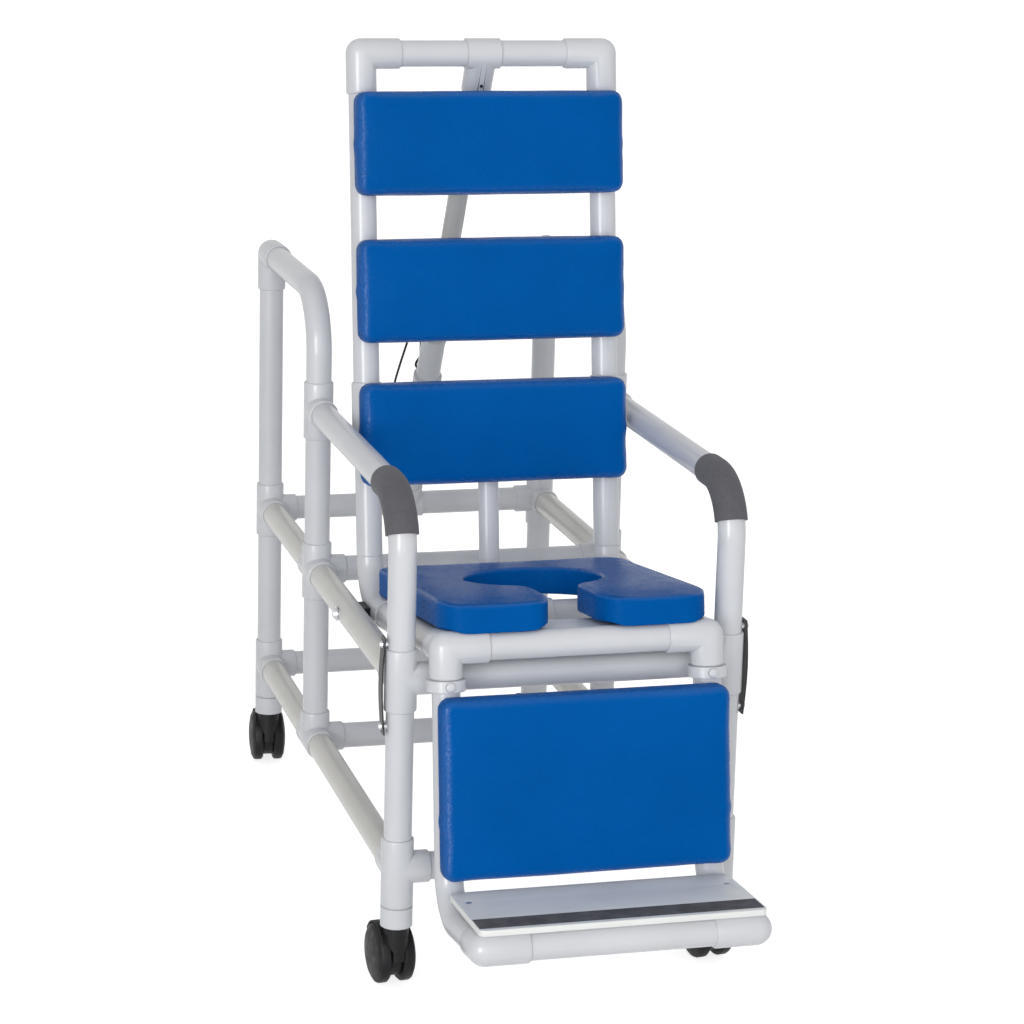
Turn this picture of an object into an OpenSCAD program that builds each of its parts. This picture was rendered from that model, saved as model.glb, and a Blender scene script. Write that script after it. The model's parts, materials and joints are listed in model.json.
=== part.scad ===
/* [Pipe] */
// Outside diameter of the frame pipe
pipe_od = 42.2; // [38:0.1:46]
// Wall of the frame pipe
pipe_wall = 3.6; // [2:0.1:5]
// Outside diameter of the thin pipe in the strut and the back post
thin_od = 33.4; // [30:0.1:34]
// Wall of the thin pipe
thin_wall = 3.4; // [2:0.1:4]

/* [Fittings] */
// Outside diameter of a moulded fitting
fit_od = 49; // [47:0.5:51]
// From the middle of a tee to the mouth of its socket
tee_reach = 48; // [40:1:58]
// From the middle of a lower corner fitting down to its lower mouth
foot_reach = 59; // [52:1:64]
// From the corner of an elbow to the mouth of its socket
elbow_reach = 64; // [50:1:70]
// From the middle of a fitting to the end of the pipe in its socket
pipe_seat = 25; // [24:0.5:34]
// Rounding at the mouth of a socket
mouth_round = 3; // [1:0.5:3.2]
// Radial clearance of a glued pipe in its socket
glue_gap = 0.1; // [0.02:0.01:0.2]
// Radial clearance of a turning or sliding fit
run_gap = 0.08; // [0.02:0.01:0.1]

/* [Base frame] */
// Between the middles of the left and right posts
base_w = 506; // [480:2:560]
// From the front posts to the middle posts
mid_post_y = 620; // [560:5:700]
// From the front posts to the rear posts
rear_post_y = 1045; // [960:5:1120]
// Height of the lower rails
lower_z = 190; // [185:1:200]
// Height of the upper rails and of the tilt pivot
upper_z = 484; // [460:1:500]
// Height of the armrest tubes
arm_z = 757; // [720:1:800]
// Height of the push handles
handle_z = 950; // [920:1:1000]
// Bend radius of the armrest tube
arm_bend_r = 84; // [70:1:100]
// Bend radius of the push handle
handle_bend_r = 100; // [80:1:110]

/* [Armrest grips] */
// Wall of the foam grip
grip_wall = 3.8; // [2:0.1:6]
// Where the grip starts on the bend, from its front end
grip_start = 20; // [10:1:30]
// Length of the grip behind the bend
grip_run = 26; // [10:1:60]

/* [Tilt frame] */
// From the front posts back to the pivot
pivot_y = 355; // [340:1:370]
// How far the seat leans back at rest
rest_tilt = 8.5; // [6:0.5:10]
// Between the middles of the left and right tubes
tilt_w = 400; // [380:1:404]
// From the pivot forward to the front seat bar
seat_front_u = 415; // [405:1:430]
// From the pivot forward to the cross bar under the seat
seat_bar_u = 112; // [110:1:150]
// From the pivot back to the uprights
back_u = 89; // [86:1:100]
// From the pivot up to the top bar
top_w = 885; // [860:1:900]
// Bend radius at the foot of the uprights
back_bend_r = 80; // [70:1:80]
// Length of the bell on the lower end of a bent upright
bell_len = 62; // [55:1:70]
// From the pivot forward to the mouth of the bell
bell_mouth_u = 53; // [50:1:60]
// Height of the cross bar behind the lower back pad
back_bar_w = 313; // [290:1:340]

/* [Pads] */
// Width of the back pads and the calf pad
pad_w = 434; // [400:1:440]
// Height of a back pad
pad_h = 160; // [140:1:170]
// Thickness of a pad with its crown
pad_t = 46; // [35:1:50]
// Corner radius of a pad
pad_corner_r = 18; // [15:1:30]
// Height of the calf pad
calf_h = 262; // [220:1:270]
// Thickness of the calf pad with its crown
calf_t = 40; // [35:1:48]
// Middle of the upper back pad above the pivot
upper_pad_w = 741; // [735:1:742]
// Middle of the middle back pad above the pivot
middle_pad_w = 507; // [495:1:520]
// Middle of the lower back pad above the pivot
lower_pad_w = 278; // [270:1:290]
// Middle of the calf pad below the pivot
calf_pad_w = 202; // [195:1:208]
// Clearance between a pad and what carries it
pad_gap = 0.3; // [0.2:0.1:1]

/* [Seat] */
// Width of the seat cushion
cushion_w = 408; // [390:1:420]
// Depth of the seat cushion
cushion_d = 450; // [425:1:455]
// Thickness of the seat cushion with its crown
cushion_t = 46; // [40:1:56]
// How far the cushion stands in front of the front bar's middle
cushion_front = 5; // [0:1:6]
// Radius of the round opening
hole_r = 104; // [95:1:110]
// Middle of the round opening in front of the pivot
hole_u = 172; // [165:1:185]
// Half the width of the front gap
gap_half = 34; // [30:1:40]
// Thickness of the seat board
board_t = 8; // [5:0.5:9]
// Front strip of the board before its opening
board_strip = 85; // [60:1:110]

/* [Footrest] */
// From the pivot forward to the footrest bar
foot_u = 616; // [600:1:630]
// From the pivot down to the footrest bar
foot_w = 396; // [385:1:405]
// Bend radius of the footrest legs
leg_bend_r = 66; // [55:1:66]
// Depth of the foot plate
plate_d = 180; // [160:1:181]
// Width of the foot plate
plate_w = 424; // [410:1:440]
// Thickness of the foot plate
plate_t = 9; // [6:0.5:12]
// How far the foot plate slopes up to the back
plate_slope = 4.2; // [3:0.1:5]
// Width of the dark strip on the plate
strip_d = 43; // [30:1:46]

/* [Strut] */
// From the foot of the strut to the mouth of its outer tube
sleeve_len = 393; // [370:1:410]
// From the head of the strut to the lower end of its inner tube
inner_len = 640; // [630:1:650]
// Half the length of a slip tee along its bar
slip_half = 28; // [26:1:32]
// Reach of the head tee along the strut
head_reach = 72; // [66:1:80]

/* [Casters] */
// Diameter of a caster wheel
wheel_d = 91; // [86:1:92]
// Width of a caster wheel
wheel_w = 23; // [20:0.5:26]
// Width of the caster's middle body
hub_w = 16; // [12:0.5:18]
// From the swivel axis back to the axle
trail = 28; // [26:1:34]
// Height of the caster socket's lower edge
socket_z = 100; // [98:0.5:104]
// How far the left front caster stands turned
front_left_turn = 5; // [-5:1:5]
// How far the right front caster stands turned
front_right_turn = 7; // [-7:1:7]
// How far the rear casters stand turned
rear_turn = -5; // [-5:1:5]

/* [Hidden] */
$fn = 48;

// colours as in the photograph
pvc_white = [0.86, 0.87, 0.87];
pvc_shade = [0.80, 0.80, 0.78];
vinyl_blue = [0.02, 0.32, 0.62];
foam_grey = [0.33, 0.33, 0.36];
nylon_black = [0.16, 0.16, 0.17];
plate_grey = [0.80, 0.84, 0.83];
steel = [0.72, 0.73, 0.75];

// shared small lengths
over = 1;
end_gap = 0.3;
clear_gap = 0.3;

// axis directions
right = [1, 0, 0];
back = [0, 1, 0];
up = [0, 0, 1];

// half sizes and radii
base_half = base_w / 2;
tilt_half = tilt_w / 2;
pipe_r = pipe_od / 2;
thin_r = thin_od / 2;
fit_r = fit_od / 2;
wheel_r = wheel_d / 2;

// points of the tilt frame in the base's frame: [y, z] from seat coordinates [u, w]
function tilted(u, w) = [pivot_y + u * cos(rest_tilt) + w * sin(rest_tilt),
    upper_z - u * sin(rest_tilt) + w * cos(rest_tilt)];

// strut from its foot on the rear cross bar to its head on the top bar
head_point = tilted(back_u, top_w);
strut_dy = rear_post_y - head_point[0];
strut_dz = head_point[1] - upper_z;
strut_len = sqrt(strut_dy * strut_dy + strut_dz * strut_dz);
strut_lean = atan2(strut_dy, strut_dz);

// depth of the whole chair, for the origin
plate_ahead = 24;
plate_front_u = foot_u + plate_ahead;
plate_low_w = -foot_w + (fit_r + end_gap) / cos(plate_slope) - plate_ahead * tan(plate_slope);
front_reach = fit_r - tilted(-foot_u, -foot_w)[0];
axle_gap = 1.5;
dome = 7;
tread_round = 3;
tread_out = hub_w / 2 + axle_gap + wheel_w - dome - tread_round;
rear_reach = rear_post_y + (trail + wheel_r) * cos(rear_turn) + tread_out * abs(sin(rear_turn));
mid_y = (rear_reach - front_reach) / 2;

// moves a piece from the front posts' frame to the chair's own frame
module in_chair() {
    translate([0, -mid_y, 0]) children();
}

// places a piece drawn with X across, Y back along the seat and Z up from it
module in_tilt() {
    in_chair() translate([0, pivot_y, upper_z]) rotate([-rest_tilt, 0, 0]) children();
}

// places a piece drawn with Z along the strut from its foot
module in_strut() {
    in_chair() translate([0, rear_post_y, upper_z]) rotate([strut_lean, 0, 0]) children();
}

// draws a left piece as it is and a right piece mirrored
module on_side(s) {
    mirror([s > 0 ? 1 : 0, 0, 0]) children();
}

// turns +Z to a direction
module along(v) {
    rotate([0, acos(v[2] / norm(v)), atan2(v[1], v[0])]) children();
}

// straight hollow pipe from a to b, measured from p along v
module pipe_run(p, v, a, b, od = pipe_od, wall = pipe_wall) {
    translate(p) along(v) translate([0, 0, a]) difference() {
        cylinder(d = od, h = b - a);
        translate([0, 0, -over]) cylinder(d = od - 2 * wall, h = b - a + 2 * over);
    }
}

// straight pipe between two fittings whose middles are len apart
module pipe_between(p, v, len) {
    pipe_run(p, v, pipe_seat + end_gap, len - pipe_seat - end_gap);
}

// bent pipe in the YZ plane: centre [y, z], bend radius and two angles from +Y
module pipe_bend(x, centre, bend_r, from_a, to_a, od = pipe_od, wall = pipe_wall) {
    translate([x, centre[0], centre[1]]) rotate([90, 0, 90]) rotate([0, 0, from_a])
        rotate_extrude(angle = to_a - from_a) translate([bend_r, 0]) difference() {
            circle(d = od);
            circle(d = od - 2 * wall);
        }
}

// outside of one socket with its rounded mouth
module socket_body(reach, r = fit_r) {
    rotate_extrude() polygon([[0, 0], [r, 0], [r, reach - mouth_round],
        [r - mouth_round * (1 - cos(30)), reach - mouth_round * (1 - sin(30))],
        [r - mouth_round * (1 - cos(60)), reach - mouth_round * (1 - sin(60))],
        [r - mouth_round, reach], [0, reach]]);
}

// moulded fitting: arms are [direction, reach]; a corner fitting gets a round corner
module fitting(p, arms, corner = false, r = fit_r, od = pipe_od, wall = pipe_wall) {
    translate(p) difference() {
        union() {
            if (corner) sphere(r = r);
            for (arm = arms) along(arm[0]) socket_body(arm[1], r);
        }
        for (arm = arms) along(arm[0]) {
            translate([0, 0, pipe_seat]) cylinder(r = od / 2 + glue_gap, h = arm[1]);
            cylinder(r = od / 2 - wall, h = pipe_seat + over);
        }
    }
}

// moulded tee along X with a thinner branch
module reducing_tee(p, branch) {
    translate(p) difference() {
        for (v = [right, -right, branch]) along(v) socket_body(tee_reach);
        for (v = [right, -right]) along(v) {
            translate([0, 0, pipe_seat]) cylinder(r = pipe_r + glue_gap, h = tee_reach);
            cylinder(r = pipe_r - pipe_wall, h = pipe_seat + over);
        }
        along(branch) translate([0, 0, pipe_seat]) cylinder(r = thin_r + glue_gap, h = tee_reach);
        along(branch) cylinder(r = thin_r - thin_wall, h = pipe_seat + over);
    }
}

// left rear post in two lengths, below and above the upper rail
module rear_post(s) {
    color(pvc_white) in_chair() on_side(s) {
        pipe_between([-base_half, rear_post_y, lower_z], up, upper_z - lower_z);
        pipe_between([-base_half, rear_post_y, upper_z], up, handle_z - upper_z);
    }
}

// left middle post in two lengths
module mid_post(s) {
    color(pvc_white) in_chair() on_side(s) {
        pipe_between([-base_half, mid_post_y, lower_z], up, upper_z - lower_z);
        pipe_between([-base_half, mid_post_y, upper_z], up, arm_z - upper_z);
    }
}

// front post below the upper rail, and the armrest tube that bends back from it
module arm_tube(s) {
    bend_z = arm_z - arm_bend_r;
    color(pvc_white) in_chair() on_side(s) {
        difference() {
            pipe_between([-base_half, 0, lower_z], up, upper_z - lower_z);
            strap_screw_hole(strap_low_z + strap_end);
        }
        difference() {
            union() {
                pipe_run([-base_half, 0, upper_z], up, pipe_seat + end_gap, bend_z - upper_z);
                pipe_bend(-base_half, [arm_bend_r, bend_z], arm_bend_r, 90, 180);
                pipe_run([-base_half, 0, arm_z], back, arm_bend_r,
                    mid_post_y - pipe_seat - end_gap);
            }
            strap_screw_hole(strap_top_z - strap_end);
        }
    }
}

// push handle: up from the middle post, then back to the top of the rear post
module push_handle(s) {
    bend_z = handle_z - handle_bend_r;
    bend_y = mid_post_y + handle_bend_r;
    color(pvc_white) in_chair() on_side(s) union() {
        pipe_run([-base_half, mid_post_y, arm_z], up, pipe_seat + end_gap, bend_z - arm_z);
        pipe_bend(-base_half, [bend_y, bend_z], handle_bend_r, 90, 180);
        pipe_run([-base_half, bend_y, handle_z], back, 0,
            rear_post_y - bend_y - pipe_seat - end_gap);
    }
}

// hole for the pivot bolt through both walls of a side tube
module pivot_hole(d) {
    translate([-base_half - fit_od, pivot_y, upper_z]) rotate([0, 90, 0])
        cylinder(d = d, h = 2 * fit_od);
}

// lower and upper side rails of one side
module side_rails(s) {
    color(pvc_shade) in_chair() on_side(s) {
        for (z = [lower_z, upper_z]) {
            pipe_between([-base_half, mid_post_y, z], back, rear_post_y - mid_post_y);
        }
        pipe_between([-base_half, 0, lower_z], back, mid_post_y);
        difference() {
            pipe_between([-base_half, 0, upper_z], back, mid_post_y);
            pivot_hole(bolt_d + 2 * glue_gap);
        }
    }
}

// six cross bars of the base
module base_crossbars() {
    color(pvc_white) in_chair() for (y = [0, mid_post_y, rear_post_y])
        for (z = [lower_z, upper_z]) pipe_between([-base_half, y, z], right, base_w);
}

// caster socket: a collar below the lower fitting with a spigot inside it
spigot_gap = 0.5;
socket_lip = 3;
stem_d = 11;
socket_top = lower_z - foot_reach;
module caster_socket(y) {
    translate([-base_half, y, 0]) difference() {
        union() {
            translate([0, 0, socket_z])
                cylinder(r = fit_r - glue_gap, h = socket_top - socket_z - end_gap);
            translate([0, 0, socket_z + socket_lip])
                cylinder(r = pipe_r, h = lower_z - pipe_seat - spigot_gap - socket_z - socket_lip);
        }
        translate([0, 0, socket_z - over]) cylinder(d = stem_d + 2 * run_gap, h = lower_z);
    }
}

// fittings down the rear post
module rear_fittings(s) {
    t = tee_reach;
    color(pvc_white) in_chair() on_side(s) {
        fitting([-base_half, rear_post_y, lower_z],
            [[up, t], [-up, foot_reach], [-back, t], [right, t]]);
        fitting([-base_half, rear_post_y, upper_z], [[up, t], [-up, t], [-back, t], [right, t]]);
        fitting([-base_half, rear_post_y, handle_z], [[-up, elbow_reach], [-back, elbow_reach]],
            corner = true);
        caster_socket(rear_post_y);
    }
}

// fittings down the middle post
module mid_fittings(s) {
    t = tee_reach;
    color(pvc_white) in_chair() on_side(s) {
        fitting([-base_half, mid_post_y, lower_z], [[up, t], [back, t], [-back, t], [right, t]]);
        fitting([-base_half, mid_post_y, upper_z],
            [[up, t], [-up, t], [back, t], [-back, t], [right, t]]);
        fitting([-base_half, mid_post_y, arm_z], [[up, t], [-up, t], [-back, t]]);
    }
}

// fittings down the front post
module front_fittings(s) {
    t = tee_reach;
    color(pvc_white) in_chair() on_side(s) {
        fitting([-base_half, 0, lower_z], [[up, t], [-up, foot_reach], [back, t], [right, t]]);
        fitting([-base_half, 0, upper_z], [[up, t], [-up, t], [back, t], [right, t]]);
        caster_socket(0);
    }
}

// foam grips over the bends of the armrest tubes
module arm_grips() {
    bend_z = arm_z - arm_bend_r;
    grip_od = pipe_od + 2 * grip_wall + 2 * glue_gap;
    color(foam_grey) in_chair() for (s = [-1, 1]) on_side(s) union() {
        pipe_bend(-base_half, [arm_bend_r, bend_z], arm_bend_r, 90, 180 - grip_start,
            grip_od, grip_wall);
        pipe_run([-base_half, 0, arm_z], back, arm_bend_r, arm_bend_r + grip_run,
            grip_od, grip_wall);
    }
}

// pivot bolt and its washers
bolt_d = 10;
bolt_head_d = 19;
bolt_head_h = 5;
washer_d = 24;
washer_t = 1.6;
nut_d = 17;
nut_h = 8;
rail_outer_x = base_half + pipe_r;
rail_inner_x = base_half - pipe_r;
tilt_outer_x = tilt_half + fit_r;
tilt_inner_x = tilt_half - fit_r;

// black spacers between the base rails and the tilt frame
spacer_y = 40;
spacer_z = 24;
module pivot_spacers() {
    color(nylon_black) in_chair() for (s = [-1, 1]) on_side(s) difference() {
        translate([-base_half, pivot_y - spacer_y / 2, upper_z - spacer_z / 2])
            cube([base_half - tilt_outer_x - clear_gap, spacer_y, spacer_z]);
        translate([-base_half, 0, upper_z]) rotate([-90, 0, 0])
            cylinder(r = pipe_r + glue_gap, h = mid_post_y);
        pivot_hole(bolt_d + 2 * glue_gap);
    }
}

// black straps down the outer face of the front posts
strap_w = 22;
strap_t = 2.2;
strap_rise = 66;
strap_drop = 82;
strap_top_z = upper_z + strap_rise;
strap_low_z = upper_z - strap_drop;
strap_end = 11;
strap_bow = 4;
strap_steps = 8;
strap_x = base_half + fit_r + clear_gap;
strap_len = strap_top_z - strap_low_z;
strap_screw_d = 5;
function strap_line(k, out) = [-strap_x - out - strap_bow * sin(180 * k / strap_steps),
    strap_low_z + strap_len * k / strap_steps];
module side_straps() {
    color(nylon_black) in_chair() for (s = [-1, 1]) on_side(s) difference() {
        translate([0, strap_w / 2, 0]) rotate([90, 0, 0]) linear_extrude(height = strap_w)
            polygon(concat([for (k = [0:strap_steps]) strap_line(k, 0)],
                [for (k = [strap_steps:-1:0]) strap_line(k, strap_t)]));
        for (z = [strap_top_z - strap_end, strap_low_z + strap_end]) strap_screw_hole(z);
    }
}

// hole for a strap screw through the outer wall of a left front post
module strap_screw_hole(z) {
    translate([-strap_x - fit_od, 0, z]) rotate([0, 90, 0])
        cylinder(d = strap_screw_d + 2 * glue_gap, h = 2 * fit_od);
}

// screw lying along X from a head at x0 inwards, with a spacer tube under the strap
strap_head_d = 11;
strap_head_h = 3.4;
strap_screw_in = 5;
strap_slope = strap_bow * sin(180 / strap_steps) * strap_steps / strap_len;
strap_head_gap = clear_gap + strap_head_d / 2 * strap_slope;
module strap_screw(z) {
    lift = strap_bow * sin(180 * strap_end / strap_len);
    head_x = strap_x + strap_t + lift + strap_head_gap;
    translate([-head_x, 0, z]) rotate([0, 90, 0]) {
        cylinder(d = strap_screw_d, h = head_x - base_half - pipe_r + strap_screw_in);
        translate([0, 0, -strap_head_h]) cylinder(d1 = strap_head_d - strap_head_h,
            d2 = strap_head_d, h = strap_head_h);
    }
    difference() {
        translate([-strap_x - lift + strap_head_gap, 0, z]) rotate([0, 90, 0])
            cylinder(d = strap_head_d, h = fit_r - pipe_r + lift + pipe_wall);
        translate([-base_half, 0, 0]) cylinder(r = pipe_r + glue_gap, h = arm_z);
    }
}

// pivot bolts with washers and nuts, and the strap screws
module base_hardware() {
    color(steel) in_chair() for (s = [-1, 1]) on_side(s) {
        translate([-rail_outer_x, pivot_y, upper_z]) rotate([0, 90, 0]) {
            cylinder(d = bolt_d, h = rail_outer_x - tilt_inner_x + washer_t + nut_h + over);
            translate([0, 0, -washer_t]) cylinder(d = washer_d, h = washer_t);
            translate([0, 0, -washer_t - bolt_head_h])
                cylinder(d1 = bolt_head_d - bolt_head_h, d2 = bolt_head_d, h = bolt_head_h);
        }
        translate([-tilt_inner_x + clear_gap, pivot_y, upper_z]) rotate([0, 90, 0]) {
            cylinder(d = washer_d, h = washer_t);
            translate([0, 0, washer_t]) cylinder(d = nut_d, h = nut_h, $fn = 6);
        }
        for (z = [strap_top_z - strap_end, strap_low_z + strap_end]) strap_screw(z);
    }
}

// caster housing: middle body, swivel boss, hood over both wheels, stem and axle
hub_r = 36;
boss_r = 19;
hood_gap = 1.6;
hood_t = 2.2;
hood_half = 24;
axle_d = 8;
wheel_gap = 1.4;
hub_rim = 3;
hood_from = 40;
hood_to = 150;
stem_low = 62;
stem_top = 148;
seat_cut = 1.2;
module caster_housing(x, y, turn = 0) {
    in_chair() translate([x, y, 0]) rotate([0, 0, turn]) mirror(back) {
        color(nylon_black) difference() {
            union() {
                translate([-hub_w / 2, -trail, wheel_r]) rotate([0, 90, 0])
                    cylinder(r = hub_r, h = hub_w);
                translate([0, 0, wheel_r]) cylinder(r = boss_r,
                    h = socket_z - clear_gap - wheel_r);
                translate([-hub_w / 2, -trail, wheel_r + hub_r - boss_r])
                    cube([hub_w, trail, hood_gap + boss_r]);
                intersection() {
                    translate([-hood_half, -trail, wheel_r]) rotate([90, 0, 90])
                        rotate([0, 0, hood_from]) hood_band();
                    translate([-wheel_d, -wheel_d - trail, wheel_r / 2]) cube([2 * wheel_d,
                        2 * wheel_d + trail, wheel_d]);
                }
            }
            translate([0, 0, socket_z - clear_gap]) cylinder(r = fit_r + seat_cut, h = wheel_d);
            translate([0, 0, stem_low]) cylinder(d = stem_d + 2 * glue_gap, h = wheel_d);
            for (s = [-1, 1]) on_side(s)
                translate([-hub_w / 2 - axle_gap / 2 - wheel_d, -trail, wheel_r])
                    rotate([0, 90, 0]) cylinder(r = wheel_r + wheel_gap, h = wheel_d);
            translate([-wheel_d, -trail, wheel_r]) rotate([0, 90, 0])
                cylinder(d = axle_d + 2 * glue_gap, h = 2 * wheel_d);
        }
        color(steel) {
            translate([0, 0, stem_low]) cylinder(d = stem_d, h = stem_top - stem_low);
            translate([-hub_w / 2 - axle_gap - wheel_w + hub_rim, -trail, wheel_r])
                rotate([0, 90, 0]) cylinder(d = axle_d,
                    h = hub_w + 2 * (axle_gap + wheel_w - hub_rim));
        }
    }
}

// the hood as a band round the axle, drawn along +Z
module hood_band() {
    rotate_extrude(angle = hood_to - hood_from) translate([wheel_r + hood_gap, 0])
        square([hood_t, 2 * hood_half]);
}

// one wheel with a domed outer face; side -1 is the left wheel of the pair
rim_inset = 8;
module caster_wheel(x, y, side, turn = 0) {
    inner = hub_w / 2 + axle_gap;
    in_chair() translate([x, y, 0]) rotate([0, 0, turn]) translate([0, trail, wheel_r])
        mirror([side < 0 ? 1 : 0, 0, 0]) translate([inner, 0, 0]) rotate([0, 90, 0])
        color(nylon_black) difference() {
            rotate_extrude() polygon([[0, 0], [wheel_r - tread_round, 0],
                [wheel_r, tread_round], [wheel_r, wheel_w - dome - tread_round],
                [wheel_r - tread_round / 2, wheel_w - dome],
                [wheel_r - rim_inset, wheel_w - dome / 2],
                [wheel_r / 2, wheel_w - dome / 8], [axle_d, wheel_w], [0, wheel_w]]);
            translate([0, 0, -over]) cylinder(d = axle_d + 2 * run_gap,
                h = wheel_w - hub_rim + over + clear_gap);
        }
}

// bent foot of an upright with the bell that takes the seat rail
module upright_foot() {
    r = back_bend_r;
    difference() {
        union() {
            pipe_bend(-tilt_half, [back_u - r, r], r, 270, 360);
            difference() {
                translate([-tilt_half, -bell_mouth_u, 0]) rotate([-90, 0, 0])
                    cylinder(r = fit_r, h = bell_mouth_u + back_u - r);
                translate([-tilt_half, -bell_mouth_u - over, 0]) rotate([-90, 0, 0])
                    cylinder(r = pipe_r - pipe_wall, h = 2 * bell_mouth_u + over);
            }
        }
        translate([-tilt_half, -bell_mouth_u - over, 0]) rotate([-90, 0, 0])
            cylinder(r = pipe_r + glue_gap, h = bell_len + over);
        translate([-tilt_half - fit_od, 0, 0]) rotate([0, 90, 0])
            cylinder(d = bolt_d + 2 * run_gap, h = 2 * fit_od);
    }
}

// places along an upright where the pad screws pass
pad_screw_share = 0.32;
pad_screw_d = 4.5;
pad_screws = [for (c = [upper_pad_w, middle_pad_w, lower_pad_w]) for (k = [-1, 1])
    c + k * pad_screw_share * pad_h];

// through hole from front to back in a left tube at [u, w]
module pad_screw_hole(u, w) {
    translate([-tilt_half, u - fit_od, w]) rotate([-90, 0, 0])
        cylinder(d = pad_screw_d + 2 * glue_gap, h = 2 * fit_od);
}

// left upright: bent foot, length below the cross bar, length above it
module upright(s) {
    color(pvc_white) in_tilt() on_side(s) {
        upright_foot();
        difference() {
            union() {
                pipe_run([-tilt_half, back_u, 0], up, back_bend_r + end_gap,
                    back_bar_w - pipe_seat - end_gap);
                pipe_between([-tilt_half, back_u, back_bar_w], up, top_w - back_bar_w);
            }
            for (w = pad_screws) pad_screw_hole(back_u, w);
        }
        pipe_run([-tilt_half, back_u, 0], up, back_bend_r - pipe_seat,
            back_bend_r + pipe_seat, pipe_od - 2 * pipe_wall - 2 * glue_gap, thin_wall);
    }
}

// top bar, cross bar behind the lower pad, thin centre post and its pipe under the seat
module back_bars() {
    color(pvc_white) in_tilt() {
        pipe_between([-tilt_half, back_u, top_w], right, tilt_w);
        pipe_between([-tilt_half, back_u, back_bar_w], right, tilt_half);
        pipe_between([0, back_u, back_bar_w], right, tilt_half);
        pipe_run([0, back_u, 0], up, pipe_seat + end_gap, back_bar_w - pipe_seat - end_gap,
            thin_od, thin_wall);
        pipe_run([0, back_u, 0], -back, pipe_seat + end_gap,
            back_u + seat_bar_u - pipe_seat - end_gap, thin_od, thin_wall);
    }
}

// top elbow and cross bar tee of one upright
module back_fittings(s) {
    color(pvc_white) in_tilt() on_side(s) {
        fitting([-tilt_half, back_u, top_w], [[-up, elbow_reach], [right, elbow_reach]],
            corner = true);
        difference() {
            fitting([-tilt_half, back_u, back_bar_w],
                [[up, tee_reach], [-up, tee_reach], [right, tee_reach]]);
            for (w = pad_screws) pad_screw_hole(back_u, w);
        }
    }
}

// tees in the middle of the two cross bars, and the thin elbow at the post's foot
thin_fit_r = 20.2;
thin_reach = 44;
module back_centre_fittings() {
    color(pvc_white) in_tilt() {
        reducing_tee([0, back_u, back_bar_w], -up);
        reducing_tee([0, -seat_bar_u, 0], back);
        fitting([0, back_u, 0], [[up, thin_reach], [-back, thin_reach]], corner = true,
            r = thin_fit_r, od = thin_od, wall = thin_wall);
    }
}

// side rails of the seat, with the pivot hole in their rear ends
module seat_rails() {
    color(pvc_shade) in_tilt() for (s = [-1, 1]) on_side(s) difference() {
        union() {
            pipe_run([-tilt_half, -seat_front_u, 0], back, pipe_seat + end_gap,
                seat_front_u - seat_bar_u - pipe_seat - end_gap);
            pipe_run([-tilt_half, -seat_bar_u, 0], back, pipe_seat + end_gap,
                seat_bar_u - bell_mouth_u + bell_len - end_gap);
        }
        translate([-tilt_half - fit_od, 0, 0]) rotate([0, 90, 0])
            cylinder(d = bolt_d + 2 * run_gap, h = 2 * fit_od);
    }
}

// front bar of the seat and the cross bar under it
module seat_bars() {
    color(pvc_white) in_tilt() {
        pipe_between([-tilt_half, -seat_front_u, 0], right, tilt_w);
        for (x = [-tilt_half, 0]) pipe_between([x, -seat_bar_u, 0], right, tilt_half);
    }
}

// three-way front elbow and the tee of the cross bar
down_reach = 45;
module seat_fittings(s) {
    t = tee_reach;
    color(pvc_white) in_tilt() on_side(s) {
        fitting([-tilt_half, -seat_front_u, 0],
            [[back, t], [right, elbow_reach], [-up, down_reach]], corner = true);
        fitting([-tilt_half, -seat_bar_u, 0], [[back, t], [-back, t], [right, t]]);
    }
}

// seat board: a panel let in between the tubes, open from its middle to the back
board_low_w = 10.5;
board_top_w = board_low_w + board_t;
board_in = sqrt(pipe_r * pipe_r - board_low_w * board_low_w) + clear_gap;
board_half = tilt_half - board_in;
board_front_u = seat_front_u - board_in;
board_back_u = seat_bar_u + board_in;
board_open_half = 100;
board_open_r = 40;
fit_relief = 1;
module seat_board() {
    open_u = board_front_u - board_strip;
    color(plate_grey) in_tilt() difference() {
        translate([0, 0, board_low_w]) linear_extrude(height = board_t) difference() {
            translate([-board_half, -board_front_u])
                square([2 * board_half, board_front_u - board_back_u]);
            translate([-board_open_half + board_open_r, -open_u + board_open_r])
                offset_rect(2 * (board_open_half - board_open_r), open_u, board_open_r);
        }
        for (s = [-1, 1]) {
            translate([s * tilt_half, -seat_front_u, 0]) sphere(r = fit_r + fit_relief);
            for (u = [seat_front_u, seat_bar_u]) translate([s * tilt_half, -u, 0])
                rotate([0, -s * 90, 0]) cylinder(r = fit_r + fit_relief,
                    h = elbow_reach + fit_relief);
            for (v = [[seat_front_u, back], [seat_bar_u, -back]])
                translate([s * tilt_half, -v[0], 0]) along(v[1])
                    cylinder(r = fit_r + fit_relief, h = tee_reach + fit_relief);
        }
    }
}

// rectangle grown by r at every side, with round corners, from the four circles and bars
module offset_rect(w, d, r) {
    translate([0, -r]) square([w, d + 2 * r]);
    translate([-r, 0]) square([w + 2 * r, d]);
    for (x = [0, w]) for (y = [0, d]) translate([x, y]) circle(r = r);
}

// arc of n + 1 points, centre c, radius r, from angle a to angle b
function arc(c, r, a, b, n) = [for (k = [0:n]) c + r * [cos(a + (b - a) * k / n),
    sin(a + (b - a) * k / n)]];

// points between p and q, pulled to the inside by depth in the middle
function pulled(p, q, depth, n) = [for (k = [1:n - 1]) let (t = k / n, d = q - p)
    p + d * t + depth * (1 - (2 * t - 1) * (2 * t - 1)) * [-d[1], d[0]] / norm(d)];

// closed outline that follows a list of point lists, with pulled sides where asked
function flat(lists) = [for (l = lists) for (p = l) p];

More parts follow.
